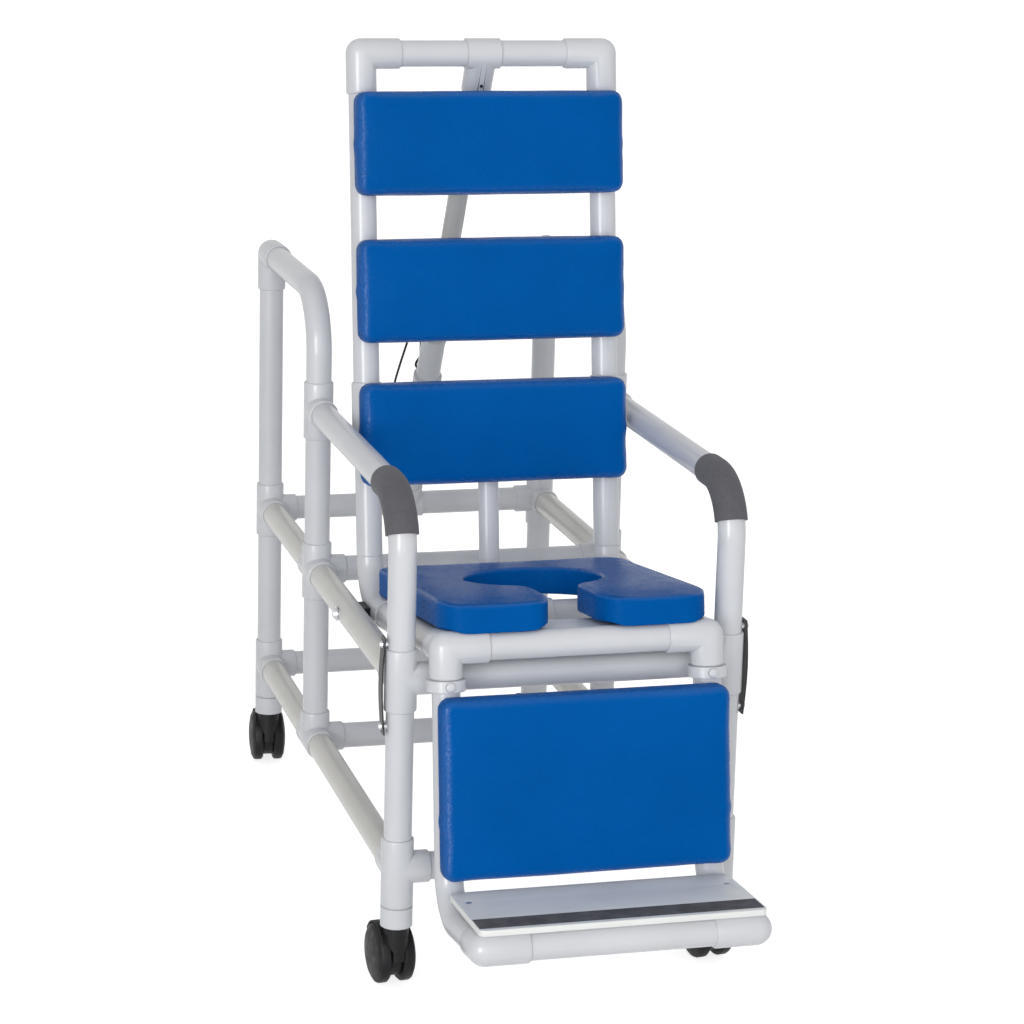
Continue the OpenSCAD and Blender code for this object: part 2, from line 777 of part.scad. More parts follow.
// outline of a rectangular pad, drawn in by inset, sides pulled in by pull
function pad_outline(w, h, r, inset, pull) = let (x = w / 2 - r, y = h / 2 - r,
    q = r - inset,
    a = arc([x, y], q, 0, 90, 4), b = arc([-x, y], q, 90, 180, 4),
    c = arc([-x, -y], q, 180, 270, 4), d = arc([x, -y], q, 270, 360, 4))
    flat([a, pulled(a[4], b[0], pull, 4), b, pulled(b[4], c[0], pull, 4), c,
        pulled(c[4], d[0], pull, 4), d, pulled(d[4], a[0], pull, 4)]);

// outline of the seat cushion with its round opening and front gap
seat_corner_r = 42;
tip_r = 42;
neck_r = 42;
cushion_front_u = seat_front_u + cushion_front;
cushion_back_u = cushion_d - cushion_front_u;
neck_run = sqrt((hole_r + neck_r) * (hole_r + neck_r)
    - (gap_half + neck_r) * (gap_half + neck_r));
neck_a = atan2(neck_run, gap_half + neck_r);
function cushion_outline(inset, pull) = let (x = cushion_w / 2 - seat_corner_r,
    f = -cushion_front_u + seat_corner_r, g = cushion_back_u - seat_corner_r,
    q = seat_corner_r - inset, n = neck_r - inset,
    tf = -cushion_front_u + tip_r, nu = -hole_u - neck_run,
    a = arc([x, g], q, 0, 90, 5), b = arc([-x, g], q, 90, 180, 5),
    c = arc([-x, f], q, 180, 270, 5),
    d = arc([-gap_half - tip_r, tf], tip_r - inset, 270, 360, 5),
    e = arc([-gap_half - neck_r, nu], n, 0, neck_a, 4),
    h = arc([0, -hole_u], hole_r + inset, 180 + neck_a, -neck_a, 22),
    i = arc([gap_half + neck_r, nu], n, 180 - neck_a, 180, 4),
    j = arc([gap_half + tip_r, tf], tip_r - inset, 180, 270, 5),
    k = arc([x, f], q, 270, 360, 5))
    flat([a, pulled(a[5], b[0], pull, 6), b, pulled(b[5], c[0], pull, 6), c, d, e,
        [for (m = [1:21]) h[m]], i, j, k, pulled(k[5], a[0], pull, 6)]);

// triangles that fill a polygon of vertex numbers from one of its corners
function fan(list, apex) = [for (i = [0:len(list) - 1]) let (next = list[(i + 1) % len(list)])
    if (list[i] != apex && next != apex) [list[i], next, apex]];

// the numbers from a to b
function span(a, b) = [for (k = [a:b]) k];

// triangles round a middle point, which is numbered n
function round_cap(n) = [for (k = [0:n - 1]) [k, (k + 1) % n, n]];

// mean of a ring's points
function ring_mean(ring, k = 0) = k == len(ring) - 1 ? ring[k] / len(ring)
    : ring[k] / len(ring) + ring_mean(ring, k + 1);

// closed solid through rings of points; cap lists the triangles of the first and last ring
module ring_solid(rings, cap) {
    n = len(rings[0]);
    m = len(rings);
    points = concat(flat(rings), [ring_mean(rings[0]), ring_mean(rings[m - 1])]);
    sides = [for (r = [0:m - 2]) for (k = [0:n - 1]) let (a = r * n + k,
        b = r * n + (k + 1) % n, c = a + n, d = b + n) for (f = [[a, c, b], [b, c, d]]) f];
    first = [for (t = cap) [for (v = t) v == n ? n * m : v]];
    last = [for (t = cap) [for (v = [t[2], t[1], t[0]]) v == n ? n * m + 1 : v + n * (m - 1)]];
    polyhedron(points = points, faces = concat(first, sides, last));
}

// heights and insets of a pad's rings, as shares of its thickness
pad_height_share = [0, 0.1, 0.3, 0.52, 0.72, 0.86, 0.95, 1];
pad_inset_share = [0.14, 0.03, 0, 0, 0.06, 0.22, 0.6, 1];
pad_crown_inset = 16;
pad_point_count = 32;
pad_pull = 3;
module pad_form(h, t) {
    ring_solid([for (k = [0:len(pad_height_share) - 1])
        [for (p = pad_outline(pad_w, h, pad_corner_r, pad_crown_inset * pad_inset_share[k],
            pad_pull)) [p[0], p[1], t * pad_height_share[k]]]], round_cap(pad_point_count));
}

// pad centred at height w in front of tubes at u, whose radius is r
module pad_at(u, w, h, t = pad_t, r = pipe_r) {
    color(vinyl_blue) in_tilt() translate([0, u - r - pad_gap, w])
        rotate([90, 0, 0]) pad_form(h, t);
}

// seat cushion
cushion_height_share = [0, 0.12, 0.35, 0.6, 0.8, 0.92, 0.98, 1];
cushion_inset_share = [0.12, 0.03, 0, 0, 0.08, 0.28, 0.62, 1];
cushion_crown_inset = 24;
cushion_pull = 4;
module seat_cushion() {
    color(vinyl_blue) in_tilt() translate([0, 0, fit_r + pad_gap])
        ring_solid([for (k = [0:len(cushion_height_share) - 1])
            [for (p = cushion_outline(cushion_crown_inset * cushion_inset_share[k],
                cushion_pull)) [p[0], p[1], cushion_t * cushion_height_share[k]]]], cushion_cap);
}

// triangles over the cushion's outline, one fan from each outer corner
back_left_index = 13;
left_mid_index = 19;
front_left_index = 24;
hole_left_index = 42;
hole_back_index = 49;
hole_right_index = 56;
front_right_index = 74;
right_mid_index = 79;
outline_last_index = 81;
back_right_index = 3;
back_mid_index = 8;
cushion_cap = concat(fan(span(left_mid_index, hole_left_index), front_left_index),
    fan(concat(span(back_mid_index, left_mid_index), span(hole_left_index, hole_back_index)),
        back_left_index),
    fan(concat(span(hole_back_index, hole_right_index),
        span(right_mid_index, outline_last_index), span(0, back_mid_index)), back_right_index),
    fan(span(hole_right_index, right_mid_index), front_right_index));

// footrest: two bent legs, front bar with elbows, and the collars under the seat
collar_d = 58;
collar_h = 17;
collar_drop = down_reach + end_gap;
module footrest_leg() {
    r = leg_bend_r;
    pipe_run([-tilt_half, -seat_front_u, 0], -up, pipe_seat + end_gap, foot_w - r);
    pipe_bend(-tilt_half, [-seat_front_u - r, -foot_w + r], r, 270, 360);
    pipe_run([-tilt_half, -seat_front_u - r, -foot_w], -back, 0,
        foot_u - seat_front_u - r - pipe_seat - end_gap);
}
module footrest_frame() {
    color(pvc_white) in_tilt() {
        for (s = [-1, 1]) on_side(s) {
            difference() {
                union() footrest_leg();
                for (k = [-1, 1]) pad_screw_hole(-seat_front_u,
                    -calf_pad_w + k * pad_screw_share * calf_h);
            }
            fitting([-tilt_half, -foot_u, -foot_w], [[back, tee_reach], [right, elbow_reach]],
                corner = true);
            translate([-tilt_half, -seat_front_u, -collar_drop - collar_h]) difference() {
                cylinder(d = collar_d, h = collar_h);
                translate([0, 0, -over]) cylinder(r = pipe_r + glue_gap,
                    h = collar_h + 2 * over);
                translate([0, -collar_d / 2 + button_in, collar_h / 2]) rotate([90, 0, 0])
                    cylinder(d = button_d + 2 * glue_gap, h = collar_d);
            }
        }
        pipe_between([-tilt_half, -foot_u, -foot_w], right, tilt_w);
    }
}

// places a piece on the sloping top of the footrest; its front lower edge is the origin
module on_footrest() {
    in_tilt() translate([0, -plate_front_u, plate_low_w]) rotate([plate_slope, 0, 0])
        children();
}

// foot plate with round corners, two sunk screw holes and a rebate for the strip
plate_corner_r = 10;
plate_screw_x = 195;
plate_screw_share = 0.527;
plate_screw_y = plate_ahead + plate_screw_share * (foot_u - seat_front_u);
strip_t = 0.8;
strip_front = 10;
strip_inset = 2;
plate_screw_d = 5;
plate_head_d = 9;
plate_head_h = (plate_head_d - plate_screw_d) / 2;
flush_gap = end_gap / 6;
module foot_plate() {
    color(plate_grey) on_footrest() difference() {
        translate([-plate_w / 2 + plate_corner_r, plate_corner_r, 0])
            linear_extrude(height = plate_t) offset_rect(plate_w - 2 * plate_corner_r,
                plate_d - 2 * plate_corner_r, plate_corner_r);
        for (s = [-1, 1]) translate([s * plate_screw_x, plate_screw_y, 0]) {
            translate([0, 0, -over]) cylinder(d = plate_screw_d + 2 * glue_gap,
                h = plate_t + 2 * over);
            translate([0, 0, plate_t - plate_head_h - glue_gap]) cylinder(d1 = plate_screw_d,
                d2 = plate_head_d + 2 * (glue_gap + over), h = plate_head_h + glue_gap + over);
        }
        translate([-plate_w / 2 + strip_inset - flush_gap, strip_front - flush_gap,
            plate_t - strip_t - flush_gap]) cube([plate_w - 2 * strip_inset + 2 * flush_gap,
                strip_d + 2 * flush_gap, strip_t + over]);
    }
}

// dark non-slip strip, let into the plate
module foot_strip() {
    color(nylon_black) on_footrest() translate([-plate_w / 2 + strip_inset, strip_front,
        plate_t - strip_t]) cube([plate_w - 2 * strip_inset, strip_d, strip_t]);
}

// round-headed screw along -Z from its head
module pan_screw(d, head_d, head_h, len) {
    translate([0, 0, -len]) cylinder(d = d, h = len);
    cylinder(d1 = head_d, d2 = head_d - 2 * head_h, h = head_h);
}

// screws of the tilt frame: foot plate, collars, pads and post flange
pad_head_d = 9;
pad_head_h = 2.4;
plate_screw_len = 12;
button_d = 14;
button_h = 6;
button_in = 2.5;
button_dome_r = 14;
module tilt_hardware() {
    color(steel) {
        on_footrest() for (s = [-1, 1]) translate([s * plate_screw_x, plate_screw_y,
            plate_t - flush_gap]) {
            translate([0, 0, -plate_screw_len]) cylinder(d = plate_screw_d, h = plate_screw_len);
            translate([0, 0, -plate_head_h]) cylinder(d1 = plate_screw_d, d2 = plate_head_d,
                h = plate_head_h);
        }
        in_tilt() for (s = [-1, 1]) on_side(s) {
            for (w = pad_screws) let (behind = abs(w - back_bar_w) < tee_reach ? fit_r : pipe_r,
                before = w < back_bar_w + tee_reach ? fit_r : pipe_r)
                translate([-tilt_half, back_u + behind, w]) rotate([-90, 0, 0])
                    pan_screw(pad_screw_d, pad_head_d, pad_head_h, behind + before);
            for (k = [-1, 1]) translate([-tilt_half, -seat_front_u + pipe_r,
                -calf_pad_w + k * pad_screw_share * calf_h]) rotate([-90, 0, 0])
                    pan_screw(pad_screw_d, pad_head_d, pad_head_h, 2 * pipe_r);
        }
    }
    color(pvc_white) in_tilt() for (s = [-1, 1]) on_side(s)
        translate([-tilt_half, -seat_front_u - collar_d / 2 + button_in - clear_gap / 2,
            -collar_drop - collar_h / 2]) rotate([90, 0, 0]) intersection() {
                cylinder(d = button_d, h = button_h);
                translate([0, 0, button_h - button_dome_r]) sphere(r = button_dome_r);
            }
}

// slip tee on the top bar, with the stub that the strut hangs in
head_bore_from = 27;
head_screw_s = 46;
head_screw_d = 5;
head_hole_d = 12;
module strut_head() {
    color(pvc_white) in_strut() translate([0, 0, strut_len]) difference() {
        union() {
            translate([-slip_half, 0, 0]) rotate([0, 90, 0])
                cylinder(r = fit_r, h = 2 * slip_half);
            rotate([180, 0, 0]) socket_body(head_reach);
        }
        translate([-slip_half - over, 0, 0]) rotate([0, 90, 0])
            cylinder(r = pipe_r + run_gap, h = 2 * slip_half + 2 * over);
        rotate([180, 0, 0]) translate([0, 0, head_bore_from])
            cylinder(r = pipe_r + glue_gap, h = head_reach);
    }
    color(nylon_black) in_strut() translate([0, -fit_r, strut_len - head_screw_s])
        rotate([90, 0, 0]) translate([0, 0, -fit_r + thin_r - thin_wall])
            cylinder(d = head_screw_d, h = fit_r - thin_r + thin_wall + pad_head_h);
}

// inner tube of the strut
tube_top = 30;
module strut_tube() {
    color(pvc_shade) in_strut() difference() {
        pipe_run([0, 0, 0], up, strut_len - inner_len, strut_len - tube_top, thin_od,
            thin_wall);
        translate([0, 0, strut_len - head_screw_s]) rotate([90, 0, 0])
            cylinder(d = head_hole_d, h = thin_od);
    }
}

// outer tube of the strut, its slip tee on the rear cross bar and its guide ring
ring_h = 7;
ring_lip = 2;
ring_d = 44.4;
slide_gap = 0.3;
module strut_sleeve() {
    color(pvc_shade) in_strut() {
        difference() {
            union() {
                translate([-slip_half, 0, 0]) rotate([0, 90, 0])
                    cylinder(r = fit_r, h = 2 * slip_half);
                socket_body(tee_reach);
            }
            translate([-slip_half - over, 0, 0]) rotate([0, 90, 0])
                cylinder(r = pipe_r + run_gap, h = 2 * slip_half + 2 * over);
            translate([0, 0, head_bore_from]) cylinder(r = pipe_r + glue_gap, h = tee_reach);
        }
        difference() {
            pipe_run([0, 0, 0], up, head_bore_from + end_gap, sleeve_len - ring_lip - end_gap);
            translate([0, 0, cable_hole_s]) rotate([0, -90, 0])
                cylinder(d = cable_d + 2 * clear_gap, h = fit_r);
        }
        translate([0, 0, sleeve_len - ring_h]) difference() {
            cylinder(d = ring_d, h = ring_h);
            translate([0, 0, -over]) cylinder(r = pipe_r + glue_gap,
                h = ring_h - ring_lip + over);
            cylinder(r = thin_r + slide_gap, h = ring_h + over);
        }
    }
    color(nylon_black) in_strut() translate([0, 0, clamp_s]) {
        difference() {
            union() {
                translate([0, 0, -clamp_h / 2]) cylinder(r = pipe_r + clamp_t, h = clamp_h);
                for (s = [-1, 1]) on_side(s) translate([-lever_w / 2 - ear_gap - ear_t, pipe_r,
                    -clamp_h / 2]) cube([ear_t, lever_pin_y - pipe_r + lever_w / 2, clamp_h]);
            }
            translate([0, 0, -clamp_h]) cylinder(r = pipe_r + glue_gap, h = 2 * clamp_h);
        }
    }
    color(steel) in_strut() translate([-lever_w / 2 - ear_gap - clear_gap, lever_pin_y, clamp_s])
        rotate([0, 90, 0]) cylinder(d = lever_pin_d, h = lever_w + 2 * (ear_gap + clear_gap));
}

// gas spring inside the strut: cylinder in the inner tube, rod from the outer tube's foot
gas_wall = 2;
gas_len = 300;
gas_rod_d = 8;
gas_inset = 4;
gas_plug_h = 12;
piston_h = 8;
piston_lift = 6;
gas_r = thin_r - thin_wall - glue_gap;
gas_foot = strut_len - inner_len + gas_inset;
module gas_cylinder() {
    color(steel) in_strut() translate([0, 0, gas_foot]) difference() {
        cylinder(r = gas_r, h = gas_len);
        translate([0, 0, gas_wall]) cylinder(r = gas_r - gas_wall, h = gas_len - 2 * gas_wall);
        translate([0, 0, -over]) cylinder(d = gas_rod_d + 2 * run_gap, h = gas_wall + 2 * over);
    }
}
module gas_rod() {
    plug_from = head_bore_from + 2 * end_gap;
    color(steel) in_strut() union() {
        translate([0, 0, plug_from]) cylinder(r = pipe_r - pipe_wall - glue_gap, h = gas_plug_h);
        translate([0, 0, plug_from]) cylinder(d = gas_rod_d,
            h = gas_foot + gas_wall + piston_lift - plug_from);
        translate([0, 0, gas_foot + gas_wall + piston_lift])
            cylinder(r = gas_r - gas_wall - run_gap, h = piston_h);
    }
}

// release lever on a pin behind the outer tube of the strut
clamp_h = 22;
clamp_t = 4;
clamp_s = 295;
lever_len = 86;
lever_w = 14;
lever_t = 6;
lever_pin_d = 5;
lever_pin_y = 36;
ear_t = 3;
ear_gap = 0.4;
module release_lever() {
    color(nylon_black) in_strut() translate([0, lever_pin_y, clamp_s]) difference() {
        union() {
            rotate([0, 90, 0]) translate([0, 0, -lever_w / 2]) cylinder(r = lever_w / 2,
                h = lever_w);
            translate([-lever_w / 2, -lever_t / 2, 0]) rotate([-lever_rest, 0, 0])
                cube([lever_w, lever_t, lever_len]);
        }
        translate([-lever_w, 0, 0]) rotate([0, 90, 0])
            cylinder(d = lever_pin_d + 2 * run_gap, h = 2 * lever_w);
    }
}
lever_rest = 24;

// release cable: out of the clamp's ear, in a bow beside the strut, into the outer tube
cable_d = 4;
cable_sides = 8;
cable_hole_s = 62;
// route of the cable: [across, behind, along the strut]
cable_route = [[-11, 34, 295], [-15, 33.5, 299], [-16, 32, 308], [-12, 30, 319], [-8, 28.5, 332],
    [-8, 28.5, 348], [-14, 29, 364], [-22, 30, 378], [-28, 30, 391], [-33, 28, 402],
    [-36, 24, 400], [-39, 20, 384], [-42, 18, 362], [-46, 17, 338], [-49, 17, 313], [-52, 17, 288],
    [-54, 17, 260], [-54, 17, 230], [-53, 18, 200], [-50, 19, 170], [-47, 20, 145], [-43, 20, 120],
    [-39, 18, 100], [-35, 14, 84], [-31, 8, 72], [-27, 2, 64], [-23.6, 0, 62], [-19, 0, 62]];
function cable_tangent(k) = let (a = cable_route[max(k - 1, 0)],
    b = cable_route[min(k + 1, len(cable_route) - 1)]) (b - a) / norm(b - a);
function cable_ring(k) = let (t = cable_tangent(k),
    n = cross(t, up) / norm(cross(t, up)), m = cross(n, t))
    [for (j = [0:cable_sides - 1]) cable_route[k] + cable_d / 2
        * (cos(360 * j / cable_sides) * n + sin(360 * j / cable_sides) * m)];
module release_cable() {
    color(nylon_black) in_strut() {
        ring_solid([for (k = [0:len(cable_route) - 1]) cable_ring(k)], round_cap(cable_sides));
    }
}

rear_post(-1);  // rear_post_left
rear_post(1);  // rear_post_right
mid_post(-1);  // mid_post_left
mid_post(1);  // mid_post_right
arm_tube(-1);  // arm_tube_left
arm_tube(1);  // arm_tube_right
push_handle(-1);  // push_handle_left
push_handle(1);  // push_handle_right
side_rails(-1);  // side_rails_left
side_rails(1);  // side_rails_right
base_crossbars();
rear_fittings(-1);  // rear_fittings_left
rear_fittings(1);  // rear_fittings_right
mid_fittings(-1);  // mid_fittings_left
mid_fittings(1);  // mid_fittings_right
front_fittings(-1);  // front_fittings_left
front_fittings(1);  // front_fittings_right
arm_grips();
pivot_spacers();
side_straps();
base_hardware();
caster_housing(-base_half, 0, front_left_turn);  // caster_front_left
caster_housing(base_half, 0, front_right_turn);  // caster_front_right
caster_housing(-base_half, rear_post_y, rear_turn);  // caster_rear_left
caster_housing(base_half, rear_post_y, rear_turn);  // caster_rear_right
caster_wheel(-base_half, 0, -1, front_left_turn);  // wheel_front_left_outer
caster_wheel(-base_half, 0, 1, front_left_turn);  // wheel_front_left_inner
caster_wheel(base_half, 0, 1, front_right_turn);  // wheel_front_right_outer
caster_wheel(base_half, 0, -1, front_right_turn);  // wheel_front_right_inner
caster_wheel(-base_half, rear_post_y, -1, rear_turn);  // wheel_rear_left_outer
caster_wheel(-base_half, rear_post_y, 1, rear_turn);  // wheel_rear_left_inner
caster_wheel(base_half, rear_post_y, 1, rear_turn);  // wheel_rear_right_outer
caster_wheel(base_half, rear_post_y, -1, rear_turn);  // wheel_rear_right_inner
upright(-1);  // upright_left
upright(1);  // upright_right
back_bars();
back_fittings(-1);  // back_fittings_left
back_fittings(1);  // back_fittings_right
back_centre_fittings();
seat_rails();
seat_bars();
seat_fittings(-1);  // seat_fittings_left
seat_fittings(1);  // seat_fittings_right
seat_board();
seat_cushion();
pad_at(back_u, upper_pad_w, pad_h);  // back_pad_upper
pad_at(back_u, middle_pad_w, pad_h);  // back_pad_middle
pad_at(back_u, lower_pad_w, pad_h, pad_t, fit_r);  // back_pad_lower
pad_at(-seat_front_u, -calf_pad_w, calf_h, calf_t);  // calf_pad
footrest_frame();
foot_plate();
foot_strip();
tilt_hardware();
strut_head();
strut_tube();
strut_sleeve();
gas_cylinder();
gas_rod();
release_lever();
release_cable();
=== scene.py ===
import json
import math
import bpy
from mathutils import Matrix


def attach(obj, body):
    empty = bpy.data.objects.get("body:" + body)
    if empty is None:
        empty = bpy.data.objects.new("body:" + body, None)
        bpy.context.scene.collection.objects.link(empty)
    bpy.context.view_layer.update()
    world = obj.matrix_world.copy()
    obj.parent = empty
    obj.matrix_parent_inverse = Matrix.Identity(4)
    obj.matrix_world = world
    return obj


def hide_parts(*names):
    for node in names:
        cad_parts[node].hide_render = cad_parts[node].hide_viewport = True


bl_info = {
    "name": "Tilting shower chair",
    "version": (1, 0, 0),
    "blender": (4, 5, 0),
    "location": "3D View > Sidebar > Chair",
    "description": "Dresses the packed shower chair: pipe, vinyl pads, grips, casters and a pale stage",
    "category": "Object",
}

import bmesh
import bpy
from bpy.props import FloatProperty, FloatVectorProperty, IntProperty, PointerProperty
from mathutils import Matrix, Vector, noise

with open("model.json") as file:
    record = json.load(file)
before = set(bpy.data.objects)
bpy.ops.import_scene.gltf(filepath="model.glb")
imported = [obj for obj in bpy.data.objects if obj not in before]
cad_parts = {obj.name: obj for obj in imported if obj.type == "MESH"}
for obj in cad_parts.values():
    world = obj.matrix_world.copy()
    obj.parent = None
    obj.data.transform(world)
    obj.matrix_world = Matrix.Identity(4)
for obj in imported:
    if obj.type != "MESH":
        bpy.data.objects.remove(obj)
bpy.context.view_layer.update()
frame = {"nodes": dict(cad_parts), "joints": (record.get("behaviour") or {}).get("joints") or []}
NODES = frame["nodes"]
JOINTS = {j["name"]: j for j in frame["joints"]}

# The seat-and-back frame's own axes: X across, Y back along the seat, Z up from it
SEAT_LEAN = math.radians(8.5)
PIVOT = Vector(JOINTS["tilt"]["pos_m"])
SEAT_AXES = Matrix.Translation(PIVOT) @ Matrix.Rotation(-SEAT_LEAN, 4, "X")

# The strut's own axes: Z runs from its foot on the rear cross bar to its head
STRUT_FOOT = Vector(JOINTS["strut_swing"]["pos_m"])
STRUT_UP = -Vector(JOINTS["strut_slide"]["axis"])
STRUT_LEAN = math.atan2(-STRUT_UP.y, STRUT_UP.z)
STRUT_AXES = Matrix.Translation(STRUT_FOOT) @ Matrix.Rotation(STRUT_LEAN, 4, "X")

# Where the faces that get a finish of their own lie, in metres
FITTING_RADIUS = 0.0245
STRUT_HEAD = 0.98247
HEAD_SCREW_DOWN = 0.046
HEAD_SCREW_REACH = 0.0035
COLLAR_DOWN = 0.0538
COLLAR_REACH = 0.01
BUTTON_AHEAD = 0.4397

# Nearness at which corners are one and edges lie in one plane, in metres
CORNER_MERGE = 0.00002
SAME_PLANE = 0.00001

# Vinyl on a pad's face and on its stretched edges
DULL_IOR = 1.07
EDGE_IOR = 1.3

# The floor's own glow, and the frames for which a pad is blown up
FLOOR_GLOW = 0.74
CLOTH_FRAMES = 20

# A pad's puckers, its tuck and the unevenness of its face, in metres
PUCKER_DEEP = 0.0007
TUCK_DEEP = 0.0016
TUCK_WIDE = 0.011
FACE_WAVE = 0.0005

# The pull lines on the seat cushion's sides and the unevenness of its top, in metres
LINE_PITCH = 0.0085
LINE_DEEP = 0.0011
TOP_WAVE = 0.0003

BACK_PADS = ("back_pad_upper", "back_pad_middle", "back_pad_lower")
WHITE_PIPE = (
    "rear_post_left", "rear_post_right", "mid_post_left", "mid_post_right",
    "arm_tube_left", "arm_tube_right", "push_handle_left", "push_handle_right", "base_crossbars",
    "upright_left", "upright_right", "back_bars", "seat_bars", "footrest_frame",
)
# Pipes that run to the back, which get a copy of the pipe finish with painted shade
SHADED_PIPE = ("side_rails_left", "side_rails_right", "seat_rails", "strut_tube")
FITTINGS = (
    "rear_fittings_left", "rear_fittings_right", "mid_fittings_left", "mid_fittings_right",
    "front_fittings_left", "front_fittings_right", "back_fittings_left", "back_fittings_right",
    "back_centre_fittings", "seat_fittings_left", "seat_fittings_right", "strut_head", "strut_sleeve",
)
CORNERS = ("front_left", "front_right", "rear_left", "rear_right")


def picture_colour(red, green, blue):
    """Linear colour of an 8-bit screen colour."""
    return tuple(
        (v / 255 / 12.92) if v / 255 <= 0.04045 else ((v / 255 + 0.055) / 1.055) ** 2.4
        for v in (red, green, blue)
    )


def scaled(colour, share):
    """The colour made lighter or darker, with no channel above 1."""
    return tuple(min(1.0, c * share) for c in colour)


# Finishes


class NodeSheet:
    """A material's node tree, with short calls for the nodes the finishes share."""

    def __init__(self, name):
        self.material = bpy.data.materials.new(name)
        self.material.use_nodes = True
        self.tree = self.material.node_tree
        self.shader = self.tree.nodes["Principled BSDF"]
        coordinates = self.node("ShaderNodeTexCoord")
        self.place = coordinates.outputs["Object"]
        self.facing = coordinates.outputs["Normal"]

    def node(self, kind, **sockets):
        """A node with numbers set on its sockets; an underscore stands for a space."""
        made = self.tree.nodes.new(kind)
        for key, value in sockets.items():
            made.inputs[key.replace("_", " ")].default_value = value
        return made

    def link(self, source, target):
        self.tree.links.new(source, target)

    def grain(self, scale, detail=2.0, rough=0.5, stretch=None):
        """Noise on the object's own coordinates, stretched along an axis where asked."""
        made = self.node("ShaderNodeTexNoise", Scale=scale, Detail=detail, Roughness=rough)
        source = self.place
        if stretch:
            mapping = self.node("ShaderNodeMapping")
            mapping.inputs["Scale"].default_value = stretch
            self.link(source, mapping.inputs["Vector"])
            source = mapping.outputs["Vector"]
        self.link(source, made.inputs["Vector"])
        return made.outputs["Fac"]

    def ramp(self, factor, low, high, from_low=0.3, from_high=0.7):
        """A number that follows a factor between two values."""
        made = self.node("ShaderNodeMapRange")
        made.inputs["From Min"].default_value = from_low
        made.inputs["From Max"].default_value = from_high
        made.inputs["To Min"].default_value = low
        made.inputs["To Max"].default_value = high
        self.link(factor, made.inputs["Value"])
        return made.outputs["Result"]

    def blend(self, factor, first, second):
        """A colour between two colours."""
        made = self.tree.nodes.new("ShaderNodeMix")
        made.data_type = "RGBA"
        made.inputs[6].default_value = (*first, 1)
        made.inputs[7].default_value = (*second, 1)
        self.link(factor, made.inputs[0])
        return made.outputs[2]

    def tint(self, cloud, darker, lighter):
        """The base colour, which drifts between two colours with a noise."""
        self.link(self.blend(self.ramp(cloud, 0, 1), darker, lighter), self.shader.inputs["Base Color"])

    def matt(self, cloud, low, high, from_low=0.3, from_high=0.7):
        """The roughness, which follows a noise between two values."""
        self.link(self.ramp(cloud, low, high, from_low, from_high), self.shader.inputs["Roughness"])

    def crease(self, radius):
        """A normal that rounds off creases."""
        made = self.node("ShaderNodeBevel", Radius=radius)
        made.samples = 4
        return made.outputs["Normal"]

    def cells(self, scale):
        """Distance to the nearest of many small cells."""
        made = self.node("ShaderNodeTexVoronoi", Scale=scale)
        self.link(self.place, made.inputs["Vector"])
        return made.outputs["Distance"]

    def combined(self, operation, first, second=None, by=None):
        """Two numbers taken together, or one with a fixed number."""
        made = self.node("ShaderNodeMath")
        made.operation = operation
        self.link(first, made.inputs[0])
        if second is not None:
            self.link(second, made.inputs[1])
        if by is not None:
            made.inputs[1].default_value = by
        return made.outputs[0]

    def relief(self, normal):
        """The surface's normal, with its bumps."""
        self.link(normal, self.shader.inputs["Normal"])

    def bump(self, height, strength, distance, under=None):
        """A bump, laid over another one where given."""
        made = self.node("ShaderNodeBump", Strength=strength, Distance=distance)
        self.link(height, made.inputs["Height"])
        if under is not None:
            self.link(under, made.inputs["Normal"])
        return made.outputs["Normal"]

    def set(self, **sockets):
        """Numbers that are the same all over the surface."""
        for key, value in sockets.items():
            self.shader.inputs[key.replace("_", " ")].default_value = value


def moulded_pipe(name, colour, rounding):
    """Glossy white pipe: faint flow lines, handling marks in the gloss and softened creases."""
    sheet = NodeSheet(name)
    sheet.set(IOR=1.5, Specular_IOR_Level=0.3)
    cloud = sheet.grain(9.0, detail=3.0)
    sheet.tint(cloud, scaled(colour, 0.94), colour)
    sheet.matt(sheet.grain(40.0, detail=2.0), 0.25, 0.27)
    wave = sheet.grain(16.0, detail=1.5)
    soft = sheet.bump(wave, 0.02, 0.001, sheet.crease(rounding))
    sheet.relief(sheet.bump(sheet.grain(420.0, detail=2.0), 0.03, 0.0003, soft))
    return sheet.material


def stretched_vinyl(name, colour, face, grain):
    """Upholstery vinyl: pressed grain, and a gloss that gathers where it is stretched over edges.

    face is the way the pad's broad face looks, grain how its pressed grain is stretched.
    """
    sheet = NodeSheet(name)
    turned = sheet.node("ShaderNodeVectorMath")
    turned.operation = "DOT_PRODUCT"
    turned.inputs[1].default_value = face
    sheet.link(sheet.facing, turned.inputs[0])
    beside_face = sheet.ramp(turned.outputs["Value"], 1, 0, 0.86, 0.99)
    before_wall = sheet.ramp(turned.outputs["Value"], 0, 1, 0.15, 0.6)
    on_edge = sheet.combined("MULTIPLY", beside_face, before_wall)
    sheet.link(sheet.ramp(on_edge, DULL_IOR, EDGE_IOR, 0, 1), sheet.shader.inputs["IOR"])
    tone = sheet.grain(7.0, detail=4.0)
    sheet.tint(tone, scaled(colour, 0.95), scaled(colour, 1.06))
    sheet.matt(sheet.grain(38.0, detail=5.0, rough=0.7), 0.2, 0.3)
    pull = sheet.bump(sheet.grain(26.0, detail=3.0, stretch=(0.5, 1.0, 1.6)), 0.3, 0.0016)
    leather = sheet.bump(sheet.grain(230.0, detail=3.0, rough=0.6, stretch=grain), 0.8, 0.002, pull)
    pressed = sheet.bump(sheet.cells(620.0), 0.16, 0.0003, leather)
    sheet.relief(sheet.bump(sheet.grain(1500.0, detail=2.0), 0.08, 0.0002, pressed))
    return sheet.material


